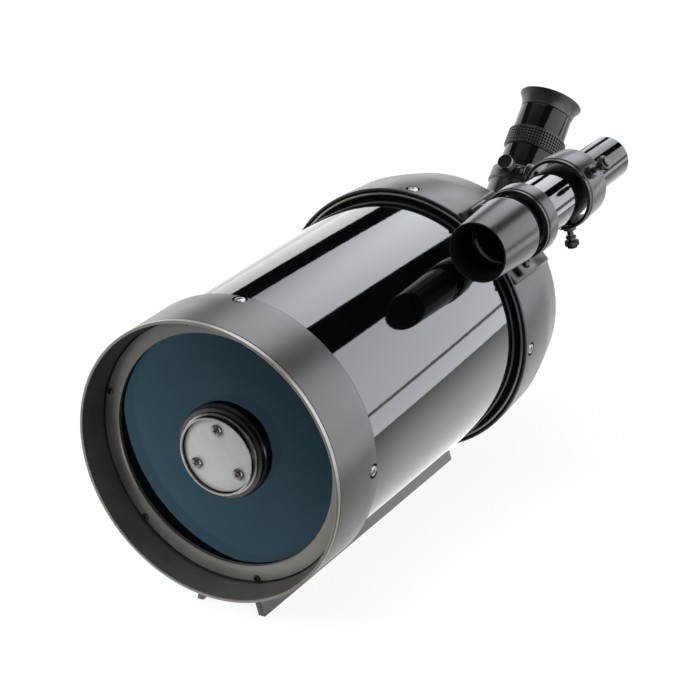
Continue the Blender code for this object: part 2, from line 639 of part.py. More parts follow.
def secondary():
    """The secondary mirror in the middle of the corrector, with its holder, cover and baffle."""
    flange_rear = CORRECTOR_FRONT - SEAT_GAP
    flange_front = flange_rear - HOLDER_FLANGE_THICKNESS
    flange = HOLDER_RADIUS + HOLDER_FLANGE_WIDTH
    lip_rear = HOLDER_FRONT + HOLDER_LIP_HEIGHT
    sleeve_end = CORRECTOR_REAR + HOLDER_SLEEVE_REACH
    recess = HOLDER_LIP_RADIUS - HOLDER_RIM
    floor_front = COVER_REAR + SEAT_GAP
    sleeve_bore = HOLDER_SLEEVE_RADIUS - HOLDER_SLEEVE_WALL
    holder = turned("secondary_holder", MATTE_BLACK, [
        (HOLDER_LIP_RADIUS - HOLDER_RIM_CHAMFER, HOLDER_FRONT),
        (HOLDER_LIP_RADIUS, HOLDER_FRONT + HOLDER_RIM_CHAMFER),
        (HOLDER_LIP_RADIUS, lip_rear),
        (HOLDER_RADIUS, lip_rear),
        (HOLDER_RADIUS, flange_front),
        (flange, flange_front),
        (flange, flange_rear),
        (HOLDER_SLEEVE_RADIUS, flange_rear),
        (HOLDER_SLEEVE_RADIUS, sleeve_end),
    ], [
        (recess, HOLDER_FRONT),
        (recess, floor_front),
        (HOLDER_FLOOR_BORE, floor_front),
        (HOLDER_FLOOR_BORE, HOLDER_FLOOR_REAR),
        (sleeve_bore, HOLDER_FLOOR_REAR),
        (sleeve_bore, sleeve_end),
    ])
    cover_radius = recess - SEAT_GAP
    cover = turned("secondary_cover_plate", SILVER_PLATE, [(cover_radius, COVER_FRONT), (cover_radius, COVER_REAR)])
    backplate_radius = sleeve_bore - SEAT_GAP
    backplate = turned("secondary_backplate", BARE_METAL,
                       [(backplate_radius, BACKPLATE_FRONT), (backplate_radius, BACKPLATE_REAR)])
    mirror_front = BACKPLATE_REAR + SEAT_GAP
    mirror_radius = backplate_radius - SECONDARY_EDGE
    mirror = turned("secondary_mirror", MIRROR,
                    [(mirror_radius, mirror_front), (mirror_radius, mirror_front + SECONDARY_THICKNESS)])
    baffle_bore = HOLDER_SLEEVE_RADIUS + THREAD_GAP
    baffle_front = CORRECTOR_REAR + SEAT_GAP
    baffle_step = baffle_front + BAFFLE_FLANGE_THICKNESS
    baffle_rear = baffle_front + BAFFLE_LENGTH
    baffle = turned("secondary_baffle", MATTE_BLACK, [
        (baffle_bore + BAFFLE_FLANGE_WIDTH, baffle_front),
        (baffle_bore + BAFFLE_FLANGE_WIDTH, baffle_step),
        (baffle_bore + BAFFLE_WALL, baffle_step),
        (baffle_bore + BAFFLE_WALL, baffle_rear),
    ], [(baffle_bore, baffle_front), (baffle_bore, baffle_rear)])
    for item in (holder, cover, backplate, mirror, baffle):
        place(item, AXIS)
    for i, letter in enumerate("abc"):
        angle = TOP_ANGLE + COLLIMATION_TURN + math.tau * i / 3
        spot = (COLLIMATION_CIRCLE * math.cos(angle), COLLIMATION_CIRCLE * math.sin(angle), 0)
        seat = COVER_FRONT - SEAT_GAP
        tip = BACKPLATE_FRONT + COLLIMATION_GRIP
        screw = headed(f"collimation_screw_{letter}", COLLIMATION_SCREW_RADIUS, COLLIMATION_HEAD, -tip, -seat,
                       COLLIMATION_HEAD_HEIGHT - seat, SMALL_FACETS)
        place(screw, AXIS, spot, (math.pi, 0, 0))
        drill = hole(f"collimation_drill_{letter}", COLLIMATION_SCREW_RADIUS + HOLE_GAP, HOLDER_FRONT,
                     tip + HOLE_GAP)
        place(drill, AXIS, spot)
        for item in (holder, cover, backplate):
            combine(item, drill, "DIFFERENCE")


def rear_end(tube):
    """The rear cell, with its saddle, the flat for the finder and the port for the visual back."""
    side_radius = REAR_CELL_RADIUS - REAR_DRAFT
    flat_radius = side_radius - REAR_SHOULDER
    cell = turned("rear_cell", SATIN_GREY, [
        (REAR_CELL_RADIUS, REAR_FRONT),
        *arc(flat_radius, REAR_SIDE_END, REAR_SHOULDER, 0.0, math.pi / 2, 6),
        (PORT_BOSS_RADIUS, REAR_BACK),
        (PORT_BOSS_RADIUS, PORT_SHOULDER),
        (PORT_SPIGOT_RADIUS, PORT_SHOULDER),
        (PORT_SPIGOT_RADIUS, PORT_END),
    ], facets=LARGE_FACETS)
    place(cell, AXIS)
    flat, tapped = saddle("rear_saddle", REAR_FRONT + PAD_FRONT, BAR_REAR, BAR_SCREW_REAR_STATION)
    half = PAD_WIDTH / 2
    pad_start = REAR_FRONT + PAD_FRONT
    pad = block("finder_pad", None, (PAD_RADIUS / 2, -half, pad_start),
                (PAD_RADIUS + CUT_PAST, half, pad_start + PAD_LENGTH))
    clearance = block("finder_pad_cut", None, (PAD_RADIUS, -half - CUT_PAST, REAR_FRONT - CUT_PAST),
                      (PAD_RADIUS + REAR_CELL_RADIUS, half + CUT_PAST, REAR_BACK))
    for item in (pad, clearance):
        place(item, AXIS, (0, 0, 0), (0, 0, FINDER_ANGLE + TOP_ANGLE))
    inner_side = side_radius - REAR_SIDE_WALL
    inner_arc = REAR_SHOULDER - REAR_BACK_WALL
    cavity = turned("rear_cavity", None, [
        (SOCKET_RADIUS, REAR_FRONT - CUT_PAST),
        (SOCKET_RADIUS, TUBE_REAR + SEAT_GAP),
        (inner_side, TUBE_REAR + SEAT_GAP),
        *arc(inner_side - inner_arc, REAR_INNER_BACK - inner_arc, inner_arc, 0.0, math.pi / 2, 3),
        (PORT_BORE, REAR_INNER_BACK),
        (PORT_BORE, PORT_END + CUT_PAST),
    ], facets=LARGE_FACETS)
    place(cavity, AXIS)
    passage = hole("focus_passage", FOCUS_ROD_RADIUS + SEAT_GAP, REAR_INNER_BACK - CUT_PAST, REAR_BACK + CUT_PAST,
                   SMALL_FACETS)
    place(passage, AXIS, focus_spot())
    combine(cell, flat, "UNION")
    combine(cell, pad, "UNION")
    for cutter in (clearance, cavity, tapped, passage):
        combine(cell, cutter, "DIFFERENCE")
    cell_screws("rear_cell", REAR_CELL_RADIUS, REAR_FRONT + REAR_SCREW_INSET, REAR_SCREW_TURN, (cell, tube))
    return cell


def focus_spot(station=0.0):
    """A point on the focus knob's axis, beside the port."""
    return (FOCUS_OFFSET * math.cos(FOCUS_ANGLE), FOCUS_OFFSET * math.sin(FOCUS_ANGLE), station)


def mirror_sag(radius):
    """How far the primary's hollow front lies behind its edge."""
    return (MIRROR_RADIUS ** 2 - radius ** 2) / (2 * MIRROR_CURVE_RADIUS)


def primary():
    """The primary mirror, which slides on the baffle tube, and the knob and rod that move it."""
    baffle_bore = BAFFLE_TUBE_RADIUS - BAFFLE_TUBE_WALL
    baffle_front = REAR_FRONT - BAFFLE_TUBE_REACH
    flange_rear = REAR_INNER_BACK - SEAT_GAP
    flange_front = flange_rear - BAFFLE_TUBE_FLANGE
    baffle = turned("primary_baffle_tube", MATTE_BLACK, [
        (BAFFLE_TUBE_RADIUS, baffle_front),
        (BAFFLE_TUBE_RADIUS, flange_front),
        (BAFFLE_TUBE_FLANGE_RADIUS, flange_front),
        (BAFFLE_TUBE_FLANGE_RADIUS, flange_rear),
        (BAFFLE_TUBE_RADIUS, flange_rear),
        (BAFFLE_TUBE_RADIUS, PORT_END - SEAT_GAP),
    ], [(baffle_bore, baffle_front), (baffle_bore, PORT_END - SEAT_GAP)])
    carrier = turned("mirror_carrier", BARE_METAL, [
        (CARRIER_RADIUS, CARRIER_FACE - CARRIER_FRONT_LENGTH),
        (CARRIER_RADIUS, CARRIER_FACE),
        (CARRIER_FLANGE_RADIUS, CARRIER_FACE),
        (CARRIER_FLANGE_RADIUS, CARRIER_BACK),
        (CARRIER_RADIUS, CARRIER_BACK),
        (CARRIER_RADIUS, CARRIER_BACK + CARRIER_REAR_LENGTH),
    ], [(CARRIER_BORE, CARRIER_FACE - CARRIER_FRONT_LENGTH), (CARRIER_BORE, CARRIER_BACK + CARRIER_REAR_LENGTH)])
    mirror_bore = CARRIER_RADIUS + SEAT_GAP
    middle = (MIRROR_RADIUS + mirror_bore) / 2
    mirror = turned("primary_mirror", MIRROR, [(MIRROR_RADIUS, MIRROR_FRONT), (MIRROR_RADIUS, MIRROR_REAR)], [
        (middle, MIRROR_FRONT + mirror_sag(middle)),
        (mirror_bore, MIRROR_FRONT + mirror_sag(mirror_bore)),
        (mirror_bore, MIRROR_REAR),
    ], LARGE_FACETS)
    lock_bore = CARRIER_RADIUS + THREAD_GAP
    lock_radius = lock_bore + LOCK_RING_WIDTH
    lock_rear = MIRROR_FRONT + mirror_sag(middle) + (mirror_sag(mirror_bore) - mirror_sag(middle)) / 2 - SEAT_GAP
    lock = turned("mirror_lock_ring", MATTE_BLACK,
                  [(lock_radius, lock_rear - LOCK_RING_THICKNESS), (lock_radius, lock_rear)],
                  [(lock_bore, lock_rear - LOCK_RING_THICKNESS), (lock_bore, lock_rear)])
    for item in (baffle, carrier, mirror, lock):
        place(item, AXIS)

    rod_front = CARRIER_BACK + SEAT_GAP
    rod = turned("focus_rod", STEEL, [(FOCUS_ROD_RADIUS, rod_front), (FOCUS_ROD_RADIUS, rod_front + FOCUS_ROD_LENGTH)],
                 facets=SMALL_FACETS)
    collar_bore = FOCUS_HUB_RADIUS + SEAT_GAP
    collar = turned("focus_collar", SATIN_GREY,
                    [(FOCUS_COLLAR_RADIUS, FOCUS_COLLAR_FRONT), (FOCUS_COLLAR_RADIUS, FOCUS_COLLAR_REAR)],
                    [(collar_bore, FOCUS_COLLAR_FRONT), (collar_bore, FOCUS_COLLAR_REAR)])
    rod_bore = FOCUS_ROD_RADIUS + SEAT_GAP
    knob = turned("focus_knob", RUBBER, [
        (FOCUS_HUB_RADIUS, FOCUS_COLLAR_FRONT),
        (FOCUS_HUB_RADIUS, FOCUS_KNOB_FRONT),
        (FOCUS_KNOB_RADIUS, FOCUS_KNOB_FRONT),
        (FOCUS_KNOB_RADIUS, FOCUS_KNOB_REAR - FOCUS_KNOB_ROUND),
        (FOCUS_KNOB_RADIUS - FOCUS_KNOB_ROUND, FOCUS_KNOB_REAR),
    ], [
        (rod_bore, FOCUS_COLLAR_FRONT),
        (rod_bore, FOCUS_KNOB_REAR - FOCUS_KNOB_END),
        (0.0, FOCUS_KNOB_REAR - FOCUS_KNOB_END),
    ])
    for item in (rod, collar, knob):
        place(item, AXIS, focus_spot())


def visual_back():
    """The sleeve that takes the diagonal, its threaded ring and its thumbscrew."""
    flange = VISUAL_BACK_RADIUS + VISUAL_BACK_FLANGE_WIDTH
    sleeve = turned("visual_back", BLACK_METAL, [
        (flange, VISUAL_BACK_FRONT),
        (flange, VISUAL_BACK_FLANGE_REAR),
        (VISUAL_BACK_RADIUS, VISUAL_BACK_FLANGE_REAR),
        (VISUAL_BACK_RADIUS, VISUAL_BACK_REAR),
    ], [(BARREL_BORE, VISUAL_BACK_FRONT), (BARREL_BORE, VISUAL_BACK_REAR)])
    place(sleeve, AXIS)
    thread = max(PORT_SPIGOT_RADIUS, flange) + THREAD_GAP
    lip = VISUAL_BACK_FLANGE_REAR + SEAT_GAP
    ring_radius = thread + SLIP_RING_WALL
    ring = turned("visual_back_ring", BLACK_METAL,
                  [(ring_radius, PORT_SHOULDER + SEAT_GAP), (ring_radius, lip + SLIP_RING_LIP)], [
        (thread, PORT_SHOULDER + SEAT_GAP),
        (thread, lip),
        (VISUAL_BACK_RADIUS + SEAT_GAP, lip),
        (VISUAL_BACK_RADIUS + SEAT_GAP, lip + SLIP_RING_LIP),
    ])
    place(ring, AXIS)
    station = VISUAL_BACK_REAR - VISUAL_BACK_SCREW_INSET
    screw = thumbscrew("visual_back_thumbscrew", BARREL_BORE, VISUAL_BACK_RADIUS, LOCK_HEAD_RADIUS)
    radial(screw, AXIS, VISUAL_BACK_SCREW_ANGLE, station)
    drill = hole("visual_back_drill", THUMB_SHANK_RADIUS + HOLE_GAP, LIGHT_BORE, VISUAL_BACK_RADIUS + CUT_PAST)
    radial(drill, AXIS, VISUAL_BACK_SCREW_ANGLE, station)
    combine(sleeve, drill, "DIFFERENCE")


def diagonal_outline():
    """The housing's side view about the point where the two axes meet: along the tube, then up."""
    half = DIAGONAL_HALF_HEIGHT
    along = (math.cos(DIAGONAL_ANGLE), math.sin(DIAGONAL_ANGLE))
    across = (-along[1], along[0])
    exit_low = [DIAGONAL_REACH * along[i] - half * across[i] for i in range(2)]
    exit_high = [DIAGONAL_REACH * along[i] + half * across[i] for i in range(2)]
    heel = (exit_low[0] - (exit_low[1] + half) / math.tan(DIAGONAL_ANGLE), -half)
    return [(-DIAGONAL_REACH, -half), heel, tuple(exit_low), tuple(exit_high), (-DIAGONAL_REACH, half)]


def diagonal():
    """The star diagonal: it turns in the visual back and carries the eyepiece on its slanted holder."""
    turn = pivot("diagonal_turn", AXIS, (0, 0, DIAGONAL_STATION))
    exit_axis = pivot("eyepiece_axis", turn, (0, 0, 0), (DIAGONAL_ANGLE, 0, 0))
    nose_front = NOSE_COLLAR_FRONT - NOSE_LENGTH
    collar = BARREL_RADIUS + NOSE_COLLAR_WIDTH
    nose = turned("diagonal_nosepiece", BARE_METAL, [
        (BARREL_RADIUS, nose_front),
        (BARREL_RADIUS, NOSE_COLLAR_FRONT),
        (collar, NOSE_COLLAR_FRONT),
        (collar, NOSE_REAR),
    ], [(LIGHT_BORE, nose_front), (LIGHT_BORE, NOSE_REAR)])
    place(nose, turn, (0, 0, -DIAGONAL_STATION))

    outline = diagonal_outline()
    cavity_outline = inset(outline, DIAGONAL_WALL)
    prism_outline = inset(outline, DIAGONAL_WALL + SEAT_GAP)
    inner = -DIAGONAL_HALF_WIDTH + DIAGONAL_COVER + SEAT_GAP
    spans = (
        ("diagonal_housing", GLOSS_BLACK, outline, inner, DIAGONAL_HALF_WIDTH),
        ("diagonal_cavity", None, cavity_outline, inner - CUT_PAST, DIAGONAL_HALF_WIDTH - DIAGONAL_WALL),
        ("diagonal_prism", GLASS, prism_outline, inner, DIAGONAL_HALF_WIDTH - DIAGONAL_WALL - SEAT_GAP),
        ("diagonal_side_cover", GLOSS_BLACK, outline, -DIAGONAL_HALF_WIDTH, inner - SEAT_GAP),
    )
    shapes = {}
    for name, material, points, low, high in spans:
        shape = slab(name, material, points, high - low)
        place(shape, turn, ((low + high) / 2, 0, 0), side_view_turn())
        shapes[name] = shape
    housing = shapes["diagonal_housing"]
    soften(housing, DIAGONAL_EDGE)
    soften(shapes["diagonal_side_cover"], DIAGONAL_COVER / 4)
    way_in = hole("diagonal_way_in", LIGHT_BORE, -DIAGONAL_REACH - CUT_PAST, 0.0, MEDIUM_FACETS)
    place(way_in, turn)
    way_out = hole("diagonal_way_out", LIGHT_BORE, 0.0, DIAGONAL_REACH + CUT_PAST, MEDIUM_FACETS)
    place(way_out, exit_axis)
    for cutter in (shapes["diagonal_cavity"], way_in, way_out):
        combine(housing, cutter, "DIFFERENCE")

    collar_start = HOLDER_TUBE_END - HOLDER_COLLAR_LENGTH
    holder = turned("diagonal_eyepiece_holder", BLACK_METAL, [
        (HOLDER_TUBE_RADIUS, HOLDER_TUBE_START),
        (HOLDER_TUBE_RADIUS, collar_start),
        (HOLDER_COLLAR_RADIUS, collar_start),
        (HOLDER_COLLAR_RADIUS, HOLDER_TUBE_END - HOLDER_COLLAR_ROUND),
        (HOLDER_COLLAR_RADIUS - HOLDER_COLLAR_ROUND, HOLDER_TUBE_END),
    ], [
        (LIGHT_BORE, HOLDER_TUBE_START),
        (LIGHT_BORE, HOLDER_TUBE_START + HOLDER_STOP),
        (BARREL_BORE, HOLDER_TUBE_START + HOLDER_STOP),
        (BARREL_BORE, HOLDER_TUBE_END),
    ])
    place(holder, exit_axis)
    station = HOLDER_TUBE_END - HOLDER_SCREW_INSET
    screw = thumbscrew("diagonal_thumbscrew", BARREL_BORE, HOLDER_COLLAR_RADIUS, LOCK_HEAD_RADIUS)
    seat = HOLDER_COLLAR_RADIUS + SEAT_GAP
    small = headed("diagonal_set_screw", SET_SCREW_RADIUS, SET_SCREW_HEAD, BARREL_BORE, seat,
                   seat + SET_SCREW_HEAD_HEIGHT)
    for item, radius, angle in ((screw, THUMB_SHANK_RADIUS, TOP_ANGLE),
                                (small, SET_SCREW_RADIUS, TOP_ANGLE + SET_SCREW_TURN)):
        radial(item, exit_axis, angle, station)
        drill = hole(item.name + "_drill", radius + HOLE_GAP, LIGHT_BORE, HOLDER_COLLAR_RADIUS + CUT_PAST)
        radial(drill, exit_axis, angle, station)
        combine(holder, drill, "DIFFERENCE")
    return exit_axis


def side_view_turn():
    """Turns a side view, drawn as (along the tube, up), into the carrier's frame, where local -Y is up."""
    turn = Matrix(((0, 0, 1), (0, -1, 0), (1, 0, 0)))
    return turn.to_euler()


def eyepiece(exit_axis):
    """The eyepiece that slides in the diagonal: barrel, body, grip, eyecup and two lens groups."""
    barrel_low = HOLDER_TUBE_END + SEAT_GAP - EYEPIECE_INSERTION
    spigot_end = SKIRT_START + EYEPIECE_SPIGOT
    barrel_top = SKIRT_START - SEAT_GAP
    barrel = turned("eyepiece_barrel", BARE_METAL, [
        (BARREL_RADIUS, barrel_low),
        (BARREL_RADIUS, barrel_top),
        (BARREL_SPIGOT_RADIUS, barrel_top),
        (BARREL_SPIGOT_RADIUS, spigot_end - SEAT_GAP),
    ], [(LIGHT_BORE, barrel_low), (LIGHT_BORE, spigot_end - SEAT_GAP)])
    skirt = EYEPIECE_RADIUS + EYEPIECE_SKIRT_STEP
    spigot_bore = BARREL_SPIGOT_RADIUS + THREAD_GAP
    body = turned("eyepiece_body", GLOSS_BLACK, [
        (skirt, SKIRT_START),
        (skirt, SKIRT_END),
        (GRIP_SEAT_RADIUS, SKIRT_END),
        (GRIP_SEAT_RADIUS, TOP_START),
        (EYEPIECE_RADIUS, TOP_START),
        (EYEPIECE_RADIUS, TOP_END),
        (NECK_RADIUS, TOP_END),
        (NECK_RADIUS, NECK_END),
    ], [
        (spigot_bore, SKIRT_START),
        (spigot_bore, spigot_end),
        (EYEPIECE_BORE, spigot_end),
        (EYEPIECE_BORE, NECK_END - EYE_BORE_DEPTH),
        (EYE_BORE, NECK_END - EYE_BORE_DEPTH),
        (EYE_BORE, NECK_END),
    ])
    grip_bore = GRIP_SEAT_RADIUS + SEAT_GAP
    grip_start = SKIRT_END + SEAT_GAP
    grip_end = TOP_START - SEAT_GAP
    grip = turned("eyepiece_grip", RUBBER,
                  [(grip_bore + GRIP_THICKNESS, grip_start), (grip_bore + GRIP_THICKNESS, grip_end)],
                  [(grip_bore, grip_start), (grip_bore, grip_end)])
    cup_bore = NECK_RADIUS + SEAT_GAP
    cup_start = TOP_END + SEAT_GAP
    cup_end = cup_start + EYECUP_LENGTH
    cup = turned("eyecup", RUBBER, [
        (EYEPIECE_RADIUS, cup_start),
        (EYEPIECE_RADIUS + EYECUP_FLARE / 8, cup_start + EYECUP_LENGTH / 4),
        (EYEPIECE_RADIUS + EYECUP_FLARE / 2, cup_start + EYECUP_LENGTH * 3 / 4),
        (EYEPIECE_RADIUS + EYECUP_FLARE, cup_end),
    ], [
        (cup_bore, cup_start),
        (cup_bore, NECK_END),
        (EYEPIECE_RADIUS + EYECUP_FLARE - EYECUP_EDGE, cup_end),
    ])
    field_radius = EYEPIECE_BORE - SEAT_GAP
    field = turned("eyepiece_field_lens", GLASS,
                   [(field_radius, spigot_end), (field_radius, spigot_end + FIELD_LENS_THICKNESS)])
    eye_radius = EYE_BORE - SEAT_GAP
    eye_front = NECK_END - EYE_BORE_DEPTH
    eye = turned("eyepiece_eye_lens", GLASS,
                 [(eye_radius, eye_front), (eye_radius, eye_front + EYE_LENS_THICKNESS)])
    for item in (barrel, body, grip, cup, field, eye):
        place(item, exit_axis)


def finder(rear_cell):
    """The finder on its bracket: it tilts about the rubber ring in the front ring."""
    spot = (FINDER_OFFSET * math.sin(FINDER_ANGLE), -FINDER_OFFSET * math.cos(FINDER_ANGLE), FINDER_STATION)
    axis = pivot("finder_pivot", AXIS, spot, (0, 0, FINDER_ANGLE + TOP_ANGLE))
    bracket = finder_bracket(axis, rear_cell)
    finder_tube(axis)
    finder_screws(axis, bracket)


def finder_bracket(axis, rear_cell):
    """Two rings on a rail with a wide foot, screwed to the flat of the rear cell."""
    half_rail = RAIL_WIDTH / 2
    half_foot = FOOT_WIDTH / 2
    front = -FRONT_RING_AHEAD
    rail_low = -(FOOT_TOP + SEAT_GAP)
    rail_high = -(max(FRONT_RING_BORE, REAR_RING_BORE) + SEAT_GAP)
    rail = block("finder_bracket", SATIN_GREY, (rail_low, -half_rail, front), (rail_high, half_rail, REAR_RING_END))
    foot = block("bracket_foot", None, (-FOOT_UNDERSIDE, -half_foot, FOOT_STATION - FOOT_LENGTH / 2),
                 (-FOOT_TOP, half_foot, FOOT_STATION + FOOT_LENGTH / 2))
    front_radius = FRONT_RING_BORE + FRONT_RING_WALL
    front_ring = hole("bracket_front_ring", front_radius, front, FRONT_RING_BEHIND, MEDIUM_FACETS)
    rear_radius = REAR_RING_BORE + REAR_RING_WALL
    rear_ring = turned("bracket_rear_ring", None,
                       [(rear_radius, REAR_RING_FRONT), (rear_radius - REAR_RING_TAPER, REAR_RING_END)])
    front_bore = hole("bracket_front_bore", FRONT_RING_BORE, front - CUT_PAST, FRONT_RING_BEHIND + CUT_PAST,
                      MEDIUM_FACETS)
    rear_bore = hole("bracket_rear_bore", REAR_RING_BORE, REAR_RING_FRONT - CUT_PAST, REAR_RING_END + CUT_PAST,
                     MEDIUM_FACETS)
    for item in (rail, foot, front_ring, rear_ring, front_bore, rear_bore):
        place(item, axis)
    for shape in (foot, front_ring, rear_ring):
        combine(rail, shape, "UNION")
    for i, angle in enumerate(screw_angles()):
        lug = hole(f"bracket_lug_{i}", BOSS_RADIUS, REAR_RING_BORE, rear_radius + BOSS_HEIGHT, SMALL_FACETS)
        radial(lug, axis, angle, FINDER_SCREW_STATION)
        combine(rail, lug, "UNION")
    for shape in (front_bore, rear_bore):
        combine(rail, shape, "DIFFERENCE")
    for letter, side in (("a", 1), ("b", -1)):
        place_at = (0, side * FOOT_SCREW_SPACING / 2, FOOT_STATION)
        seat = -FOOT_TOP + SEAT_GAP
        low = -FOOT_UNDERSIDE - FOOT_SCREW_GRIP
        screw = headed(f"finder_bracket_screw_{letter}", FOOT_SCREW_RADIUS, FOOT_SCREW_HEAD, low, seat,
                       seat + FOOT_SCREW_HEAD_HEIGHT)
        place(screw, axis, place_at, (0, math.pi / 2, 0))
        drill = hole(f"bracket_drill_{letter}", FOOT_SCREW_RADIUS + HOLE_GAP, low - HOLE_GAP, seat)
        place(drill, axis, place_at, (0, math.pi / 2, 0))
        combine(rail, drill, "DIFFERENCE")
        combine(rear_cell, drill, "DIFFERENCE")
    return rail


def screw_angles():
    """Where the two adjusting screws and the spring plunger stand round the finder's rear ring."""
    return [FINDER_SCREW_TURN + FINDER_SCREW_SPREAD * i for i in range(3)]


def finder_tube(axis):
    """The finder's tube, objective, lock ring, rubber ring and eyepiece."""
    bore = FINDER_TUBE_RADIUS - FINDER_TUBE_WALL
    eye_hole = FINDER_EYE_RADIUS + THREAD_GAP
    end_ring = FINDER_TUBE_REAR - FINDER_END_RING
    tube = turned("finder_tube", GLOSS_BLACK,
                  [(FINDER_TUBE_RADIUS, -FINDER_TUBE_FRONT), (FINDER_TUBE_RADIUS, FINDER_TUBE_REAR)], [
        (bore, -FINDER_TUBE_FRONT),
        (bore, end_ring),
        (eye_hole, end_ring),
        (eye_hole, FINDER_TUBE_REAR),
    ])
    glass_bore = OBJECTIVE_RADIUS - OBJECTIVE_WALL
    stop_rear = -FINDER_TUBE_FRONT - SEAT_GAP
    stop_front = stop_rear - OBJECTIVE_STOP_AHEAD + SEAT_GAP
    cell = turned("finder_objective_cell", MATTE_GREY, [
        (OBJECTIVE_RADIUS, -OBJECTIVE_FRONT),
        (OBJECTIVE_REAR_RADIUS, -OBJECTIVE_REAR),
    ], [
        (glass_bore, -OBJECTIVE_FRONT),
        (glass_bore, stop_front),
        (glass_bore - OBJECTIVE_STOP_WIDTH, stop_front),
        (glass_bore - OBJECTIVE_STOP_WIDTH, stop_rear),
        (FINDER_THREAD_BORE, stop_rear),
        (FINDER_THREAD_BORE, -OBJECTIVE_REAR),
    ])
    lens_rear = stop_front - SEAT_GAP
    lens_radius = glass_bore - SEAT_GAP
    lens = turned("finder_objective_lens", GLASS,
                  [(lens_radius, lens_rear - OBJECTIVE_LENS_THICKNESS), (lens_radius, lens_rear)])
    lock_front = -OBJECTIVE_REAR + SEAT_GAP
    lock_radius = FINDER_THREAD_BORE + FINDER_LOCK_RING_WIDTH
    lock = turned("finder_lock_ring", MATTE_BLACK,
                  [(lock_radius, lock_front), (lock_radius, lock_front + FINDER_LOCK_RING_THICKNESS)],
                  [(FINDER_THREAD_BORE, lock_front), (FINDER_THREAD_BORE, lock_front + FINDER_LOCK_RING_THICKNESS)])
    section = arc(O_RING_INNER + O_RING_SECTION, 0.0, O_RING_SECTION, -math.pi / 2, math.pi / 2, 4)
    section_inner = arc(O_RING_INNER + O_RING_SECTION, 0.0, O_RING_SECTION, -math.pi / 2, -math.pi * 3 / 2, 4)
    o_ring = turned("finder_o_ring", RUBBER, section, section_inner[1:-1])
    eye_bore = FINDER_EYE_RADIUS - FINDER_EYE_WALL
    eye_stop = FINDER_EYE_REAR - FINDER_EYE_END
    eye = turned("finder_eyepiece", GLOSS_BLACK,
                 [(FINDER_EYE_RADIUS, FINDER_EYE_FRONT), (FINDER_EYE_RADIUS, FINDER_EYE_REAR)], [
        (eye_bore, FINDER_EYE_FRONT),
        (eye_bore, eye_stop),
        (FINDER_EYE_HOLE, eye_stop),
        ((FINDER_EYE_HOLE + eye_bore) / 2, FINDER_EYE_REAR),
    ])
    lens_end = FINDER_EYE_REAR - FINDER_EYE_LENS_SETBACK
    eye_lens = turned("finder_eye_lens", GLASS,
                      [(eye_bore - SEAT_GAP, lens_end - FINDER_EYE_LENS_THICKNESS), (eye_bore - SEAT_GAP, lens_end)])
    for item in (tube, cell, lens, lock, o_ring, eye, eye_lens):
        place(item, axis)


def finder_screws(axis, bracket):
    """Two thumbscrews and a spring plunger that hold the finder's rear end."""
    lug_top = REAR_RING_BORE + REAR_RING_WALL + BOSS_HEIGHT
    tip = FINDER_TUBE_RADIUS + SEAT_GAP
    angles = screw_angles()
    pieces = [thumbscrew(f"finder_thumbscrew_{letter}", tip, lug_top, THUMB_HEAD_RADIUS) for letter in "ab"]
    pieces.append(headed("finder_spring_plunger", THUMB_SHANK_RADIUS, PLUNGER_CAP_RADIUS, tip, lug_top + SEAT_GAP,
                         lug_top + SEAT_GAP + PLUNGER_CAP_HEIGHT))
    for piece, angle in zip(pieces, angles):
        radial(piece, axis, angle, FINDER_SCREW_STATION)
        drill = hole(piece.name + "_drill", THUMB_SHANK_RADIUS + HOLE_GAP, tip - CUT_PAST, lug_top + CUT_PAST)
        radial(drill, axis, angle, FINDER_SCREW_STATION)
        combine(bracket, drill, "DIFFERENCE")


def mounting_bar():
    """The dovetail bar under the tube: a channel with a solid middle that holds the tripod threads."""
    half = BAR_WIDTH / 2
    slope = math.tan(BAR_SIDE_ANGLE)
    half_top = half - BAR_HEIGHT * slope
    channel_half = half - BAR_FLANGE
    channel_top = channel_half - CHANNEL_ROOF * slope
    outline = [
        (half, 0.0),
        (half_top, BAR_HEIGHT),
        (-half_top, BAR_HEIGHT),
        (-half, 0.0),
        (-channel_half, 0.0),
        (-channel_top, CHANNEL_ROOF),
        (channel_top, CHANNEL_ROOF),
        (channel_half, 0.0),
    ]
    bar = slab("dovetail_bar", MATTE_BLACK, outline, BAR_LENGTH)
    place(bar, None, (0, 0, 0), (math.pi / 2, 0, 0))
    boss = block("tripod_boss", None, (-channel_half, -BOSS_LENGTH / 2, 0.0),
                 (channel_half, BOSS_LENGTH / 2, CHANNEL_ROOF + BAR_WEB / 2))
    combine(bar, boss, "UNION")
    for side in (-1, 1):
        tapped = hole(f"tripod_hole_{side + 1}", TRIPOD_HOLE_RADIUS, -CUT_PAST, BAR_HEIGHT + CUT_PAST)
        place(tapped, None, (0, side * TRIPOD_HOLE_SPACING / 2, 0))
        combine(bar, tapped, "DIFFERENCE")
    for letter, station in (("front", BAR_SCREW_FRONT_STATION), ("rear", BAR_SCREW_REAR_STATION)):
        spot = (0, station - BAR_MIDDLE, 0)
        seat = CHANNEL_ROOF - SEAT_GAP
        tip = BAR_HEIGHT + SEAT_GAP + BAR_SCREW_GRIP
        screw = headed(f"dovetail_screw_{letter}", BAR_SCREW_RADIUS, BAR_SCREW_HEAD, -tip, -seat,
                       BAR_SCREW_HEAD_HEIGHT - seat)
        place(screw, None, spot, (math.pi, 0, 0))
        drill = hole(f"bar_drill_{letter}", BAR_SCREW_RADIUS + HOLE_GAP, 0.0, BAR_HEIGHT + CUT_PAST)
        place(drill, None, spot)
        combine(bar, drill, "DIFFERENCE")


def build():
    tube = front_end()
    secondary()
    rear_cell = rear_end(tube)
    primary()
    visual_back()
    eyepiece(diagonal())
    finder(rear_cell)
    mounting_bar()


build()
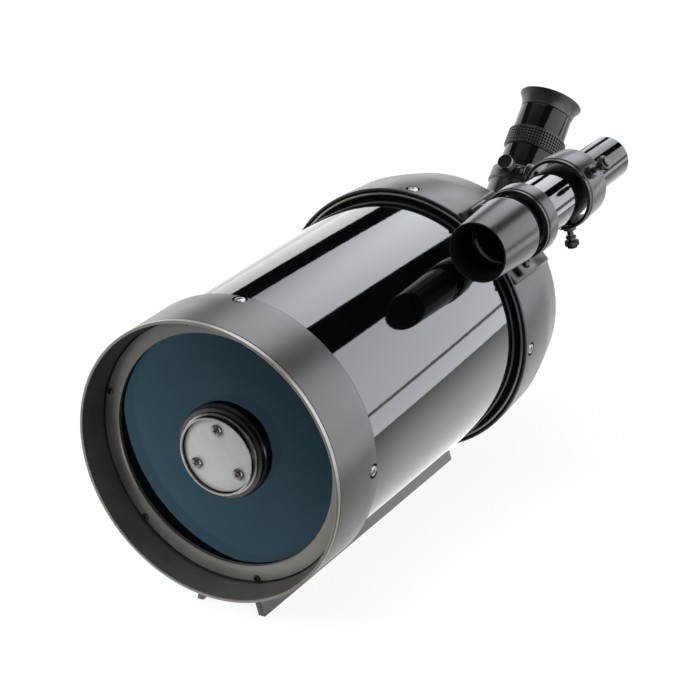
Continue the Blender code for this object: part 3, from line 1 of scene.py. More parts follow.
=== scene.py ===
# %% [markdown]
# # A five inch Schmidt-Cassegrain telescope
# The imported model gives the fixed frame: every solid sits where its joint needs it. This lesson dresses
# that frame with smooth turned pieces, screws, knurls and finishes, so that it looks like the real thing.
# Lengths are in metres, the tube lies along Y with its front towards -Y, and Z is up.

# %% Load the frame
import math

import bpy
from mathutils import Matrix, Vector


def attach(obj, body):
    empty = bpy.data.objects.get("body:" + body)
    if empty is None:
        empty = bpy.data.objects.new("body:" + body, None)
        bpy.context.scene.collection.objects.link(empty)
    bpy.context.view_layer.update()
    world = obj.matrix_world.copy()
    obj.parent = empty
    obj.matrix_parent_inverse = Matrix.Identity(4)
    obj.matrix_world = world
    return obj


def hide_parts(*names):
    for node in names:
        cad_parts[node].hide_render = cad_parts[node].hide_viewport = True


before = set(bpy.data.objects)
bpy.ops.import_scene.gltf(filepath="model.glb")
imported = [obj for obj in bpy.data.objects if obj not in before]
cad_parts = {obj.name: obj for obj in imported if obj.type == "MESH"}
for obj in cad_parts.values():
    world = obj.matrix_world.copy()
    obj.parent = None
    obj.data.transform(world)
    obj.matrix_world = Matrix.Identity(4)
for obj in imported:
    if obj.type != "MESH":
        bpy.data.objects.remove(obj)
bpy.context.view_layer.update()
bpy.ops.object.select_all(action="DESELECT")
bpy.context.scene.view_settings.view_transform = "Standard"
print(len(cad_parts), "solids in the frame")

# %% [markdown]
# Materials and the sky are trees of nodes. Three small helpers add a node, link two sockets and combine
# two values, so that the cells below read as lists of what goes into what.

# %% Node helpers


def node(tree, kind, **values):
    """A new node in a material or a world, with its inputs set by name."""
    item = tree.node_tree.nodes.new("ShaderNode" + kind)
    for title, value in values.items():
        item.inputs[title.replace("_", " ")].default_value = value
    return item


def join(tree, source, target):
    """Link one socket to another."""
    tree.node_tree.links.new(source, target)


def either(tree, operation, first, second):
    """Two values combined by a Math node."""
    item = node(tree, "Math")
    item.operation = operation
    for socket, value in zip(item.inputs, (first, second)):
        if isinstance(value, float):
            socket.default_value = value
        else:
            join(tree, value, socket)
    return item.outputs[0]


# %% [markdown]
# ## Camera
# The view is from the front, above and to the right. A long lens far away suits a product picture,
# because the tube then hardly tapers. The lens and the place were found by matching outlines.

# %% Camera
bpy.ops.object.camera_add(location=(0.669391, -1.085619, 0.679921),
                          rotation=[math.radians(a) for a in (65.77453, 1.61558, 30.31457)])
camera = bpy.context.object
camera.data.lens = 133.714
camera.data.sensor_width = 36.0
bpy.context.scene.camera = camera
print("lens", camera.data.lens)

# %% [markdown]
# ## Studio
# A gloss black tube shows its surroundings more than itself. A product studio stands long softboxes
# behind and beside such a tube and puts black boards between them, so that its sides show bright bands
# with dark edges. Boards that only mirror-like rays can see give those bands without changing
# how brightly the piece is lit, and three broad lamps do the lighting.

# %% Boards round the tube
AXIS_HEIGHT = 0.0911
COOL = (0.94, 0.975, 1.03)
BOARD_REAR = 4.5
FULL_LIGHT = 0.35


def soft_light(name, strength, colour, edges):
    """A material that shines, and fades to a share of its strength at its two long edges."""
    light = bpy.data.materials.new(name)
    light.use_nodes = True
    light.node_tree.nodes.clear()
    across = node(light, "UVMap")
    fade = node(light, "ValToRGB")
    fade.color_ramp.interpolation = "EASE"
    for element, edge in zip(fade.color_ramp.elements, edges):
        element.color = (edge, edge, edge, 1)
    fade.color_ramp.elements.new(FULL_LIGHT).color = (1, 1, 1, 1)
    glow = node(light, "Emission", Color=(*colour, 1))
    out = node(light, "OutputMaterial")
    join(light, across.outputs["UV"], fade.inputs["Fac"])
    join(light, either(light, "MULTIPLY", fade.outputs["Color"], strength), glow.inputs["Strength"])
    join(light, glow.outputs[0], out.inputs["Surface"])
    return light


def board(name, low, high, away, strength, colour=COOL, edges=(1.0, 1.0), front=0.0):
    """A long board beside the tube, from one angle to another, measured from up towards the right."""
    middle = math.radians((low + high) / 2)
    half = away * math.tan(math.radians(high - low) / 2)
    spot = (away * math.sin(middle), (front + BOARD_REAR) / 2, AXIS_HEIGHT + away * math.cos(middle))
    bpy.ops.mesh.primitive_plane_add(size=2, location=spot, rotation=(0, middle, 0))
    sheet = bpy.context.object
    sheet.name = name
    sheet.scale = (half, (BOARD_REAR - front) / 2, 1)
    bpy.ops.object.transform_apply(location=True, rotation=True, scale=True)
    sheet.data.materials.append(soft_light(name, strength, colour, edges))
    sheet.visible_camera = False
    sheet.visible_diffuse = False
    sheet.visible_transmission = False
    sheet.visible_shadow = False


board("softbox_top", -49, 10, 1.5, 3.8, edges=(0.0, 0.55))
board("softbox_right", 38.5, 92, 1.5, 3.4, edges=(0.85, 0.95), front=-0.6)
board("softbox_low", 90.5, 105.8, 0.33, 3.3, edges=(1.0, 0.4), front=-0.6)
board("softbox_left", -92, -64.5, 1.5, 2.0, (1, 1, 1))
board("flag_top", 10.5, 38, 1.55, 0.0, front=-1.5)
board("flag_left", -64, -43.5, 1.55, 0.0, front=-1.5)
print("six boards")

# %% [markdown]
# The lamps light the paint itself. They are broad and soft, and mirror-like rays don't see them,
# because the boards already stand where the real softboxes would show. The room behind the camera is dim,
# as a studio is, so faces that look forwards stay dark.

# %% Lamps and sky


def lamp(name, spot, aim, size, energy):
    """A square soft lamp that points at a spot."""
    turn = (Vector(aim) - Vector(spot)).to_track_quat("-Z", "Y").to_euler()
    bpy.ops.object.light_add(type="AREA", location=spot, rotation=turn)
    light = bpy.context.object
    light.name = name
    light.data.size = size
    light.data.energy = energy
    light.visible_glossy = False
    light.visible_camera = False


lamp("lamp_top", (0.0, -0.35, 1.7), (0, 0, 0.09), 1.4, 18)
lamp("lamp_right", (1.5, 0.1, 0.7), (0, 0, 0.09), 1.4, 8)
lamp("lamp_front", (-1.4, -1.3, 0.95), (0, -0.1, 0.09), 0.9, 46)

sky = bpy.data.worlds.new("sky")
bpy.context.scene.world = sky
sky.use_nodes = True
path = node(sky, "LightPath")
way = node(sky, "TexCoord")
split = node(sky, "SeparateXYZ")
join(sky, way.outputs["Generated"], split.inputs[0])
room = node(sky, "MapRange", From_Min=-0.5, From_Max=0.2, To_Min=0.12, To_Max=1.0)
join(sky, split.outputs["Y"], room.inputs["Value"])
seen = either(sky, "MAXIMUM", path.outputs["Is Camera Ray"], path.outputs["Is Transmission Ray"])
mirrored = either(sky, "MULTIPLY", room.outputs["Result"], path.outputs["Is Glossy Ray"])
fill = either(sky, "MULTIPLY", room.outputs["Result"], 0.45)
join(sky, either(sky, "MAXIMUM", either(sky, "MAXIMUM", seen, mirrored), fill),
     sky.node_tree.nodes["Background"].inputs["Strength"])
sky.node_tree.nodes["Background"].inputs["Color"].default_value = (1, 1, 1, 1)
print("three lamps and a sky")

# %% [markdown]
# The floor is a white sheet. The camera sees it white with a faint shadow. What the telescope sees of it is
# brightest at the rear left and fades towards the camera and to the right, and the front glass mirrors that fade.

# %% Floor
FLOOR_DROP = 0.0004
TO_REAR_LEFT = (-0.64, 0.77, 0)
bpy.ops.mesh.primitive_plane_add(size=16, location=(0, 0, -FLOOR_DROP))
floor = bpy.context.object
floor.name = "floor"
white = bpy.data.materials.new("floor_white")
white.use_nodes = True
sheet = white.node_tree.nodes["Principled BSDF"]
for title, value in (("Base Color", (0.14, 0.15, 0.155, 1)), ("Roughness", 0.9), ("Specular IOR Level", 0.0),
                     ("Emission Color", (1, 1, 1, 1)), ("Emission Strength", 0.9)):
    sheet.inputs[title].default_value = value
spot = node(white, "TexCoord")
along = node(white, "VectorMath")
along.operation = "DOT_PRODUCT"
along.inputs[1].default_value = TO_REAR_LEFT
join(white, spot.outputs["Object"], along.inputs[0])
fade = node(white, "MapRange", From_Min=-0.23, From_Max=-0.03, To_Min=0.1, To_Max=1.15)
join(white, along.outputs["Value"], fade.inputs["Value"])
split = node(white, "SeparateXYZ")
join(white, spot.outputs["Object"], split.inputs[0])
right = node(white, "MapRange", From_Min=0.13, From_Max=0.32, To_Min=1.2, To_Max=0.5)
join(white, split.outputs["X"], right.inputs["Value"])
glow = node(white, "Emission")
join(white, either(white, "MULTIPLY", fade.outputs["Result"], right.outputs["Result"]),
     glow.inputs["Strength"])
blend = node(white, "MixShader")
join(white, node(white, "LightPath").outputs["Is Camera Ray"], blend.inputs["Fac"])
join(white, glow.outputs[0], blend.inputs[1])
join(white, sheet.outputs[0], blend.inputs[2])
join(white, blend.outputs[0], white.node_tree.nodes["Material Output"].inputs["Surface"])
floor.data.materials.append(white)
print("floor")

# %% [markdown]
# ## Finishes
# Every finish drifts a little in colour and shine and has a fine skin, because no real surface is even.
# One recipe covers paint, metal, rubber and plastic: a slow cloud moves the shade and the roughness,
# and a fine grain lifts the surface. Sizes are in millimetres, and patterns sit on Object coordinates,
# so they stay with the piece when it moves.

# %% The recipe for a finish
MM = 0.001


def new_finish(name, slot, dark, light, rough, grain=0.4, lift=0.02, cloud=18, stretch=(1, 1, 1), **sockets):
    """A finish with a cloud of two shades, a spread of roughness, and a grain lifted by so many millimetres."""
    finish = bpy.data.materials.new(name)
    finish.use_nodes = True
    finish["slot"] = slot
    shader = finish.node_tree.nodes["Principled BSDF"]
    for title, value in sockets.items():
        shader.inputs[title.replace("_", " ")].default_value = value
    place = node(finish, "TexCoord")
    pull = node(finish, "Mapping", Scale=stretch)
    join(finish, place.outputs["Object"], pull.inputs["Vector"])
    slow = node(finish, "TexNoise", Scale=1000 / cloud, Detail=4.0, Roughness=0.6)
    fine = node(finish, "TexNoise", Scale=1000 / grain, Detail=2.0, Roughness=0.55)
    for noise in (slow, fine):
        join(finish, pull.outputs[0], noise.inputs["Vector"])
    shades = node(finish, "ValToRGB")
    shades.color_ramp.elements[0].position = 0.3
    shades.color_ramp.elements[0].color = (*dark, 1)
    shades.color_ramp.elements[1].position = 0.7
    shades.color_ramp.elements[1].color = (*light, 1)
    join(finish, slow.outputs["Fac"], shades.inputs["Fac"])
    join(finish, shades.outputs["Color"], shader.inputs["Base Color"])
    shine = node(finish, "MapRange", From_Min=0.3, From_Max=0.7, To_Min=rough[0], To_Max=rough[1])
    join(finish, slow.outputs["Fac"], shine.inputs["Value"])
    join(finish, shine.outputs["Result"], shader.inputs["Roughness"])
    skin = node(finish, "Bump", Strength=1.0, Distance=lift * MM)
    join(finish, fine.outputs["Fac"], skin.inputs["Height"])
    join(finish, skin.outputs["Normal"], shader.inputs["Normal"])
    return finish


# %% [markdown]
# Each line below is one finish: two shades, a spread of roughness and the size of its grain. Paints are dark and
# mirror little, bare metals are metallic, and the coated glass is a dark mirror that lets light through.

# %% Paints, metals, rubber and glass
TUBE_GLOSS = new_finish("gloss_black_paint", "tube_paint", (0.0015, 0.0015, 0.002), (0.0025, 0.0025, 0.003),
                        (0.035, 0.055), grain=6, lift=0.012, cloud=40, IOR=1.8)
FRONT_PAINT = new_finish("front_cell_paint", "front_paint", (0.017, 0.016, 0.014), (0.023, 0.022, 0.0195),
                         (0.29, 0.36), grain=0.5, lift=0.035, IOR=1.6)
# The retainer's own grey paint. The same finish is also laid on the front lip and on a narrow land of the rear rim as a
# painted highlight.
RETAINER_PAINT_AND_HIGHLIGHT = new_finish("retainer_paint_and_highlight", "front_paint", (0.22, 0.21, 0.19), (0.28, 0.267, 0.242),
                        (0.30, 0.38), grain=0.5, lift=0.03, Metallic=0.6)
# Paint for the hollows. On the front cell's recess walls it is lighter than the cell's outside, as painted light. In
# the retainer's bore it is darker than the retainer, as painted shade.
RECESS_LIGHT_AND_SHADE = new_finish("recess_light_and_shade", "front_paint", (0.040, 0.0375, 0.034), (0.055, 0.052, 0.047),
                          (0.5, 0.6), grain=0.5, lift=0.03, Specular_IOR_Level=0.2)
CASTING = new_finish("satin_casting_paint", "casting_paint", (0.008, 0.008, 0.0088), (0.012, 0.012, 0.013),
                     (0.27, 0.34), grain=0.7, lift=0.03, IOR=1.45)
FINDER_PAINT = new_finish("finder_satin_paint", "casting_paint", (0.006, 0.006, 0.0063), (0.010, 0.010, 0.0105),
                          (0.24, 0.32), grain=0.6, lift=0.02, IOR=1.5)
BAR_BLACK = new_finish("bar_anodising", "bar_black", (0.014, 0.014, 0.015), (0.024, 0.024, 0.025),
                       (0.30, 0.42), grain=0.5, lift=0.015, stretch=(1, 0.04, 1), IOR=1.7)
BLACK_METAL = new_finish("black_anodising", "black_metal", (0.008, 0.008, 0.0085), (0.014, 0.014, 0.015),
                         (0.20, 0.28), grain=0.5, lift=0.01, IOR=1.5)
BARE_METAL = new_finish("turned_aluminium", "bare_metal", (0.50, 0.50, 0.49), (0.62, 0.62, 0.61),
                        (0.24, 0.34), grain=0.4, lift=0.01, stretch=(1, 6, 1), Metallic=1.0)
DARK_METAL = new_finish("dark_nickel", "black_metal", (0.10, 0.095, 0.088), (0.15, 0.142, 0.132),
                        (0.22, 0.32), grain=0.3, lift=0.012, Metallic=1.0)
WORN_METAL_AND_HIGHLIGHT = new_finish("worn_nickel_and_highlight", "bare_metal", (0.42, 0.415, 0.39), (0.56, 0.555, 0.53),
                        (0.24, 0.36), grain=0.3, lift=0.02, cloud=6, Metallic=1.0)
# Flat black paint for the insides of tubes and cells. It is also laid on a few outer faces and hollows as painted
# shade.
FLAT_BLACK_AND_SHADE = new_finish("flat_black_and_painted_shade", "matte_black", (0.003, 0.003, 0.003), (0.006, 0.006, 0.006),
                         (0.6, 0.75), grain=4, lift=0.01, Specular_IOR_Level=0.1)
HOUSING = new_finish("housing_black_paint", "housing_black", (0.005, 0.005, 0.0055), (0.008, 0.008, 0.009),
                     (0.16, 0.24), grain=0.8, lift=0.015, IOR=1.4)
SILVER = new_finish("grained_silver_plate", "silver_plate", (0.44, 0.46, 0.43), (0.55, 0.57, 0.54),
                    (0.36, 0.48), grain=0.45, lift=0.06, Metallic=0.5)
STEEL = new_finish("screw_steel", "screw_steel", (0.20, 0.197, 0.19), (0.32, 0.315, 0.30),
                   (0.18, 0.30), grain=0.3, lift=0.012, cloud=3, Metallic=1.0)
RUBBER = new_finish("black_rubber", "rubber", (0.006, 0.006, 0.006), (0.010, 0.010, 0.010),
                    (0.32, 0.42), grain=0.4, lift=0.03)
MIRROR = new_finish("aluminised_mirror", "mirror", (0.86, 0.88, 0.90), (0.90, 0.92, 0.93),
                    (0.01, 0.03), grain=30, lift=0.002, Metallic=1.0)
COATED_GLASS = new_finish("coated_corrector", "coated_glass", (0.042, 0.086, 0.114), (0.046, 0.092, 0.122),
                          (0.0, 0.0), grain=60, lift=0.0001, Metallic=1.0, Alpha=0.6)
LENS_GLASS = new_finish("coated_lens", "coated_glass", (0.96, 0.98, 1.0), (1.0, 1.0, 1.0),
                        (0.0, 0.01), grain=60, lift=0.0001, Transmission_Weight=1.0, IOR=1.5,
                        Specular_Tint=(0.10, 0.14, 0.20, 1))
print(len(bpy.data.materials), "finishes")

# %% [markdown]
# ## Frames to draw in
# A telescope is built round a few axes: the tube, the eyepiece and the finder on its pad. A frame for each
# lets a piece be drawn upright round Z and then be laid where it belongs. The tube's frame measures
# stations from the front rim backwards.

# %% Frames
FRONT_RIM = -0.1168
PRISM_STATION = 0.3181
FINDER_HEIGHT = 0.1048
FINDER_STATION = 0.1970
OPTICAL = Matrix.Translation((0, FRONT_RIM, AXIS_HEIGHT)) @ Matrix.Rotation(math.radians(-90), 4, "X")
EYE = OPTICAL @ Matrix.Translation((0, 0, PRISM_STATION)) @ Matrix.Rotation(math.radians(45), 4, "X")
FINDER_SIDE = math.radians(45.8)
PAD = OPTICAL @ Matrix.Rotation(FINDER_SIDE - math.pi / 2, 4, "Z")
FINDER = PAD @ Matrix.Translation((FINDER_HEIGHT, 0, FINDER_STATION))
TOP = -90


def radial(place, angle, station, out=0.0):
    """A frame whose Z points out from an axis, at an angle in degrees and a station in millimetres."""
    turn = Matrix.Rotation(math.radians(angle), 4, "Z") @ Matrix.Rotation(math.pi / 2, 4, "Y")
    return place @ Matrix.Translation((0, 0, station * MM)) @ turn @ Matrix.Translation((0, 0, out * MM))


print("frames for the tube, the eyepiece, the pad and the finder")

# %% [markdown]
# ## How a turned piece is made
# Nearly every part of a telescope comes off a lathe. Its half outline is drawn by extruding one vertex
# from point to point, a third number on a point rounds that corner, and the outline is then spun
# round Z. Merging the doubles closes the seam, and only after that are the normals made to agree.

# %% Outlines and the spin
MERGE = 0.000002


def eased(outline):
    """The outline with its marked corners rounded."""
    points = []
    for i, point in enumerate(outline):
        here = Vector(point[:2])
        if len(point) < 3 or i in (0, len(outline) - 1):
            points.append(here)
            continue
        back = Vector(outline[i - 1][:2]) - here
        ahead = Vector(outline[i + 1][:2]) - here
        half = back.angle(ahead) / 2
        run = min(point[2] / math.tan(half), back.length * 0.49, ahead.length * 0.49)
        start = here + back.normalized() * run
        stop = here + ahead.normalized() * run
        for k in range(5):
            s = k / 4
            points.append(start * (1 - s) ** 2 + here * 2 * s * (1 - s) + stop * s ** 2)
    return points


def only(piece):
    """Make a piece the only one selected."""
    bpy.ops.object.select_all(action="DESELECT")
    piece.select_set(True)
    bpy.context.view_layer.objects.active = piece


def drawn(name, points):
    """A new object with its outline drawn by extruding one vertex along (x, z) points, left in edit mode."""
    bpy.ops.object.select_all(action="DESELECT")
    bpy.ops.mesh.primitive_plane_add(size=0.001)
    piece = bpy.context.object
    piece.name = name
    bpy.ops.object.mode_set(mode="EDIT")
    bpy.ops.mesh.select_mode(type="VERT")
    bpy.ops.mesh.select_all(action="SELECT")
    bpy.ops.mesh.merge(type="CENTER")
    bpy.ops.transform.translate(value=(points[0][0] * MM, 0, points[0][1] * MM))
    for here, there in zip(points, points[1:]):
        step = ((there[0] - here[0]) * MM, 0, (there[1] - here[1]) * MM)
        bpy.ops.mesh.extrude_region_move(TRANSFORM_OT_translate={"value": step})
    bpy.ops.mesh.select_all(action="SELECT")
    return piece


def spun(name, outline, steps=96):
    """An outline of (radius, station) points in millimetres, spun round Z."""
    piece = drawn(name, eased(outline))
    bpy.ops.mesh.spin(steps=steps, angle=math.tau, center=(0, 0, 0), axis=(0, 0, 1))
    bpy.ops.mesh.select_all(action="SELECT")
    bpy.ops.mesh.remove_doubles(threshold=MERGE)
    bpy.ops.mesh.normals_make_consistent(inside=False)
    bpy.ops.object.mode_set(mode="OBJECT")
    return piece


def ring(outer, inner):
    """The closed section of a ring from an outer and an inner outline, both running from front to rear."""
    middle = [(outer[0][i] + inner[0][i]) / 2 for i in range(2)]
    return [middle, *outer, *reversed(inner), middle]


# %% [markdown]
# ## Finishing a piece
# A finished shape is laid in its frame, gets its finish and rides on its body. Some pieces carry a second finish,
# on faces that a test picks out. Shapes that a lathe can't turn are joined or cut away with booleans.

# %% Fitting, picking faces and joining


def fitted(piece, place, finish, body, *nodes, smooth=35):
    """Put a finished shape in its place, give it its finish, and let it stand for its CAD nodes."""
    only(piece)
    bpy.ops.object.shade_smooth_by_angle(angle=math.radians(smooth))
    piece.matrix_world = place
    bpy.ops.object.transform_apply(location=True, rotation=True, scale=True)
    if finish not in list(piece.data.materials):
        piece.data.materials.append(finish)
    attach(piece, body)
    if nodes:
        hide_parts(*nodes)
    print(piece.name, len(piece.data.polygons), "faces")
    return piece


def picked(piece, wanted):
    """Select the faces whose centre in millimetres and normal pass a test, and stay in edit mode."""
    only(piece)
    bpy.ops.object.mode_set(mode="EDIT")
    bpy.ops.mesh.select_mode(type="FACE")
    bpy.ops.mesh.select_all(action="DESELECT")
    bpy.ops.object.mode_set(mode="OBJECT")
    for face in piece.data.polygons:
        face.select = wanted(face.center / MM, face.normal)
    bpy.ops.object.mode_set(mode="EDIT")


def second_finish(piece, finish, wanted):
    """Give the faces that pass a test a finish of their own."""
    piece.data.materials.append(finish)
    for face in piece.data.polygons:
        if wanted(face.center / MM, face.normal):
            face.material_index = len(piece.data.materials) - 1


def copied(piece, name):
    """A copy with its own mesh."""
    only(piece)
    bpy.ops.object.duplicate(linked=False)
    twin = bpy.context.object
    twin.name = name
    return twin


def merged(piece, other, operation):
    """Join another shape to a piece or cut it away, and remove the other shape."""
    step = piece.modifiers.new("step", "BOOLEAN")
    step.operation = operation
    step.object = other
    step.solver = "EXACT"
    if other.data.materials:
        step.material_mode = "TRANSFER"
    only(piece)
    bpy.ops.object.modifier_apply(modifier=step.name)
    bpy.data.objects.remove(other)


# %% [markdown]
# ## Optical tube
# A rolled aluminium tube, gloss black outside and flat black inside against stray light.
# Faces that look inwards get the second finish. Many steps keep the reflections straight.

# %% Optical tube
def inward(centre, normal):
    """True for a face that looks at the axis of a piece drawn round Z."""
    return centre.x * normal.x + centre.y * normal.y < -0.2


tube = spun("tube", ring([(73.1, 27.5, 0.3), (73.1, 213, 0.3)], [(71.3, 27.5), (71.3, 213)]), 192)
tube.data.materials.append(TUBE_GLOSS)
second_finish(tube, FLAT_BLACK_AND_SHADE, inward)
fitted(tube, OPTICAL, TUBE_GLOSS, "tube", "optical_tube")

# %% [markdown]
# ## Front cell
# A cast ring that holds the corrector deep inside. Its front lip is a rounded bead with a fine groove behind it,
# and its bore narrows towards the glass. Three screws hold it to the tube, each in a shallow dish, which a boolean
# cuts because a turned outline can't carry it.

# %% Front cell
front = spun("front_cell_ring", ring(
    [(77.7, -1.5, 0.8), (77.7, 1.0, 0.3), (77.1, 1.5, 0.15), (77.5, 2.0, 0.2), (77.5, 28), (77.5, 31),
     (77.5, 38, 0.5)],
    [(76.2, -1.5, 0.5), (73.5, 12.5), (73.5, 17.5, 0.2), (69.9, 17.5), (69.9, 22.1), (66.6, 22.1), (66.6, 27.2),
     (73.4, 27.2), (73.4, 38, 0.3)]), 192)


def dish(place):
    """A cutter for the shallow dish round a screw, whose flat black passes to the dish as painted shade."""
    cutter = spun("dish", [(0, -1.6), (3.7, -1.6), (4.0, 0.0), (4.2, 0.5), (4.2, 3), (0, 3)], 40)
    # The dish round each cell screw is flat black, as painted shade in the hollow.
    cutter.data.materials.append(FLAT_BLACK_AND_SHADE)
    cutter.matrix_world = place
    return cutter


FRONT_SCREW_STATION, FRONT_SCREW_SEAT = 34.3, 77.5
REAR_SCREW_STATION, REAR_SCREW_SEAT = 208.5, 78.05
CELL_SCREWS = {}
for letter, angle in (("a", TOP), ("b", 0), ("c", 180)):
    CELL_SCREWS["front", letter] = radial(OPTICAL, angle + 1.5, FRONT_SCREW_STATION, FRONT_SCREW_SEAT)
    CELL_SCREWS["rear", letter] = radial(OPTICAL, angle + 3.5, REAR_SCREW_STATION, REAR_SCREW_SEAT)
front.data.materials.append(FRONT_PAINT)
# The front lip's faces take the lighter retainer paint as a painted highlight along the rim.
second_finish(front, RETAINER_PAINT_AND_HIGHLIGHT, lambda centre, normal: centre.z < 0.6 and centre.xy.length > 75.6)
# The recess walls take a paint lighter than the cell's outside, as painted light where the lamps fall into the recess.
second_finish(front, RECESS_LIGHT_AND_SHADE, lambda centre, normal: centre.z < 14 and centre.xy.length < 75.9
              and inward(centre, normal))
# The cell's rear step and rounded rear edge are flat black, as a painted shade line where the cell meets the tube.
second_finish(front, FLAT_BLACK_AND_SHADE, lambda centre, normal: centre.z > 37.55)
front.matrix_world = OPTICAL
for letter in "abc":
    merged(front, dish(CELL_SCREWS["front", letter]), "DIFFERENCE")
fitted(front, OPTICAL, FRONT_PAINT, "tube", "front_cell")

# %% [markdown]
# ## Corrector and retaining ring
# The corrector is a nearly flat plate of coated glass with a hole in its middle. Its thin coating mirrors
# a little light in blue and lets the rest through, so its finish is a dark tinted mirror with a low alpha.
# A flat ring with a bevelled bore holds it, with six small dark screws at its edge.

# %% Corrector and its ring
retainer = spun("retaining_ring", ring([(72.9, 14.6, 0.3), (72.9, 17.2)],
                                       [(65.3, 14.6, 0.15), (64.6, 15.3, 0.15), (64.4, 17.2)]), 192)
retainer.data.materials.append(RETAINER_PAINT_AND_HIGHLIGHT)
# The bore takes the darker recess paint, as painted shade inside the ring.
second_finish(retainer, RECESS_LIGHT_AND_SHADE, lambda centre, normal: centre.xy.length < 64.6)
fitted(retainer, OPTICAL, RETAINER_PAINT_AND_HIGHLIGHT, "tube", "corrector_retaining_ring")
corrector = spun("corrector", ring([(69.3, 17.5), (69.6, 17.8), (69.6, 21.5), (69.3, 21.8)],
                                   [(20.1, 17.5), (19.8, 17.8), (19.8, 21.5), (20.1, 21.8)]), 128)
fitted(corrector, OPTICAL, COATED_GLASS, "tube", "corrector_plate")

# %% [markdown]
# ## Secondary mirror
# The secondary sits in the hole of the corrector. From the front one sees a dark turned holder, whose narrow bright lip
# of worn metal stands round a grained plate with three screws for collimation. Fine steps on its side catch the light,
# and the front faces at the first step carry the same bright metal as a painted highlight.

# %% Secondary holder, plate, mirror and baffle
holder = spun("secondary_holder_body", ring(
    [(21.7, 7.9, 0.5), (21.7, 11.0), (22.7, 11.3, 0.2), (22.8, 11.9, 0.2), (22.8, 12.3), (24.9, 12.4, 0.3),
     (25.2, 13.0, 0.3), (25.2, 14.0, 0.3), (24.4, 14.3, 0.1), (24.4, 15.0, 0.1), (25.3, 15.3, 0.3),
     (25.9, 16.0, 0.3), (25.9, 17.2),
     (19.5, 17.2), (19.5, 26.8)],
    [(20.5, 7.9, 0.4), (20.5, 11.4), (9, 11.4), (9, 15.1), (18.3, 15.1), (18.3, 26.8)]), 128)
holder.data.materials.append(DARK_METAL)
# The lip is worn bare metal. The front faces at the first step get the same bright metal as a painted highlight line.
second_finish(holder, WORN_METAL_AND_HIGHLIGHT, lambda centre, normal: centre.z < 8.7
              or (11.0 < centre.z < 12.0 and normal.z < -0.2))
second_finish(holder, BLACK_METAL, lambda centre, normal: centre.z > 12.35)
fitted(holder, OPTICAL, DARK_METAL, "tube", "secondary_holder")
plate = spun("secondary_plate", [(0, 11.1), (20.2, 11.1), (20.2, 9.7, 0.25), (0, 9.7)], 96)
fitted(plate, OPTICAL, SILVER, "tube", "secondary_cover_plate")
baffle = spun("secondary_baffle_tube", ring([(27, 22.1, 0.3), (27, 24.1), (21.4, 24.1), (21.4, 48.1)],
                                            [(19.8, 22.1), (19.8, 48.1)]))
fitted(baffle, OPTICAL, FLAT_BLACK_AND_SHADE, "tube", "secondary_baffle")
backplate = spun("secondary_back", [(0, 19.9), (18, 19.9, 0.3), (18, 16.3, 0.3), (0, 16.3)])
fitted(backplate, OPTICAL, BARE_METAL, "tube", "secondary_backplate")
small_mirror = spun("secondary_glass", [(0, 26.0), (17.2, 26.2, 0.2), (17.2, 20.2), (0, 20.2)])
fitted(small_mirror, OPTICAL, MIRROR, "tube", "secondary_mirror")

# %% [markdown]
# ## Screws
# Each screw is a turned head with a cross cut into it. One is modelled per size and copied,
# and the copy is turned so that its Z points out of the surface it sits in.

# %% Pan head screws


def cross_head(name, radius, height, shank, depth):
    """A pan head from its seat at zero up to its crown, with a cross recess and a shank below."""
    screw = spun(name, [(0, -depth), (shank, -depth), (shank, 0), (radius, 0, 0.1), (radius, height * 0.4, 0.3),
                        (radius * 0.85, height * 0.76), (radius * 0.5, height * 0.95), (0, height)], 40)
    for turn in (0, 90):
        bpy.ops.object.select_all(action="DESELECT")
        bpy.ops.mesh.primitive_cube_add(size=1, location=(0, 0, height * 0.95 * MM),
                                        rotation=(0, 0, math.radians(turn)))
        slit = bpy.context.object
        slit.scale = (radius * 1.15 * MM, radius * 0.24 * MM, height * 1.1 * MM)
        bpy.ops.object.transform_apply(location=True, rotation=True, scale=True)
        picked(slit, lambda centre, normal: normal.z < -0.5)
        bpy.ops.transform.resize(value=(0.55, 0.55, 1))
        bpy.ops.object.mode_set(mode="OBJECT")
        merged(screw, slit, "DIFFERENCE")
    return screw


cell_screw = cross_head("cell_screw", 3.1, 1.9, 1.5, 4.0)
for (end, letter), place in CELL_SCREWS.items():
    sunk = place @ Matrix.Translation((0, 0, -1.5 * MM)) @ Matrix.Rotation(math.radians(25), 4, "Z")
    fitted(copied(cell_screw, f"{end}_screw_{letter}"), sunk, STEEL, "tube", f"{end}_cell_screw_{letter}")
bpy.data.objects.remove(cell_screw)

COLLIMATOR_CIRCLE = 14.5 * MM
collimator = cross_head("collimator", 3.1, 1.8, 1.5, 6.0)
for i, letter in enumerate("abc"):
    angle = math.radians(TOP + 2 + 120 * i)
    spot = Matrix.Translation((COLLIMATOR_CIRCLE * math.cos(angle), COLLIMATOR_CIRCLE * math.sin(angle), 9.5 * MM))
    place = OPTICAL @ spot @ Matrix.Rotation(math.pi, 4, "X") @ Matrix.Rotation(math.radians(20 + 35 * i), 4, "Z")
    fitted(copied(collimator, f"collimation_{letter}"), place, STEEL, f"collimation_screw_{letter}",
           f"collimation_screw_{letter}")
bpy.data.objects.remove(collimator)

# %% [markdown]
# The retaining ring's six screws are tiny and black, so a socket head with a plain hole is enough.

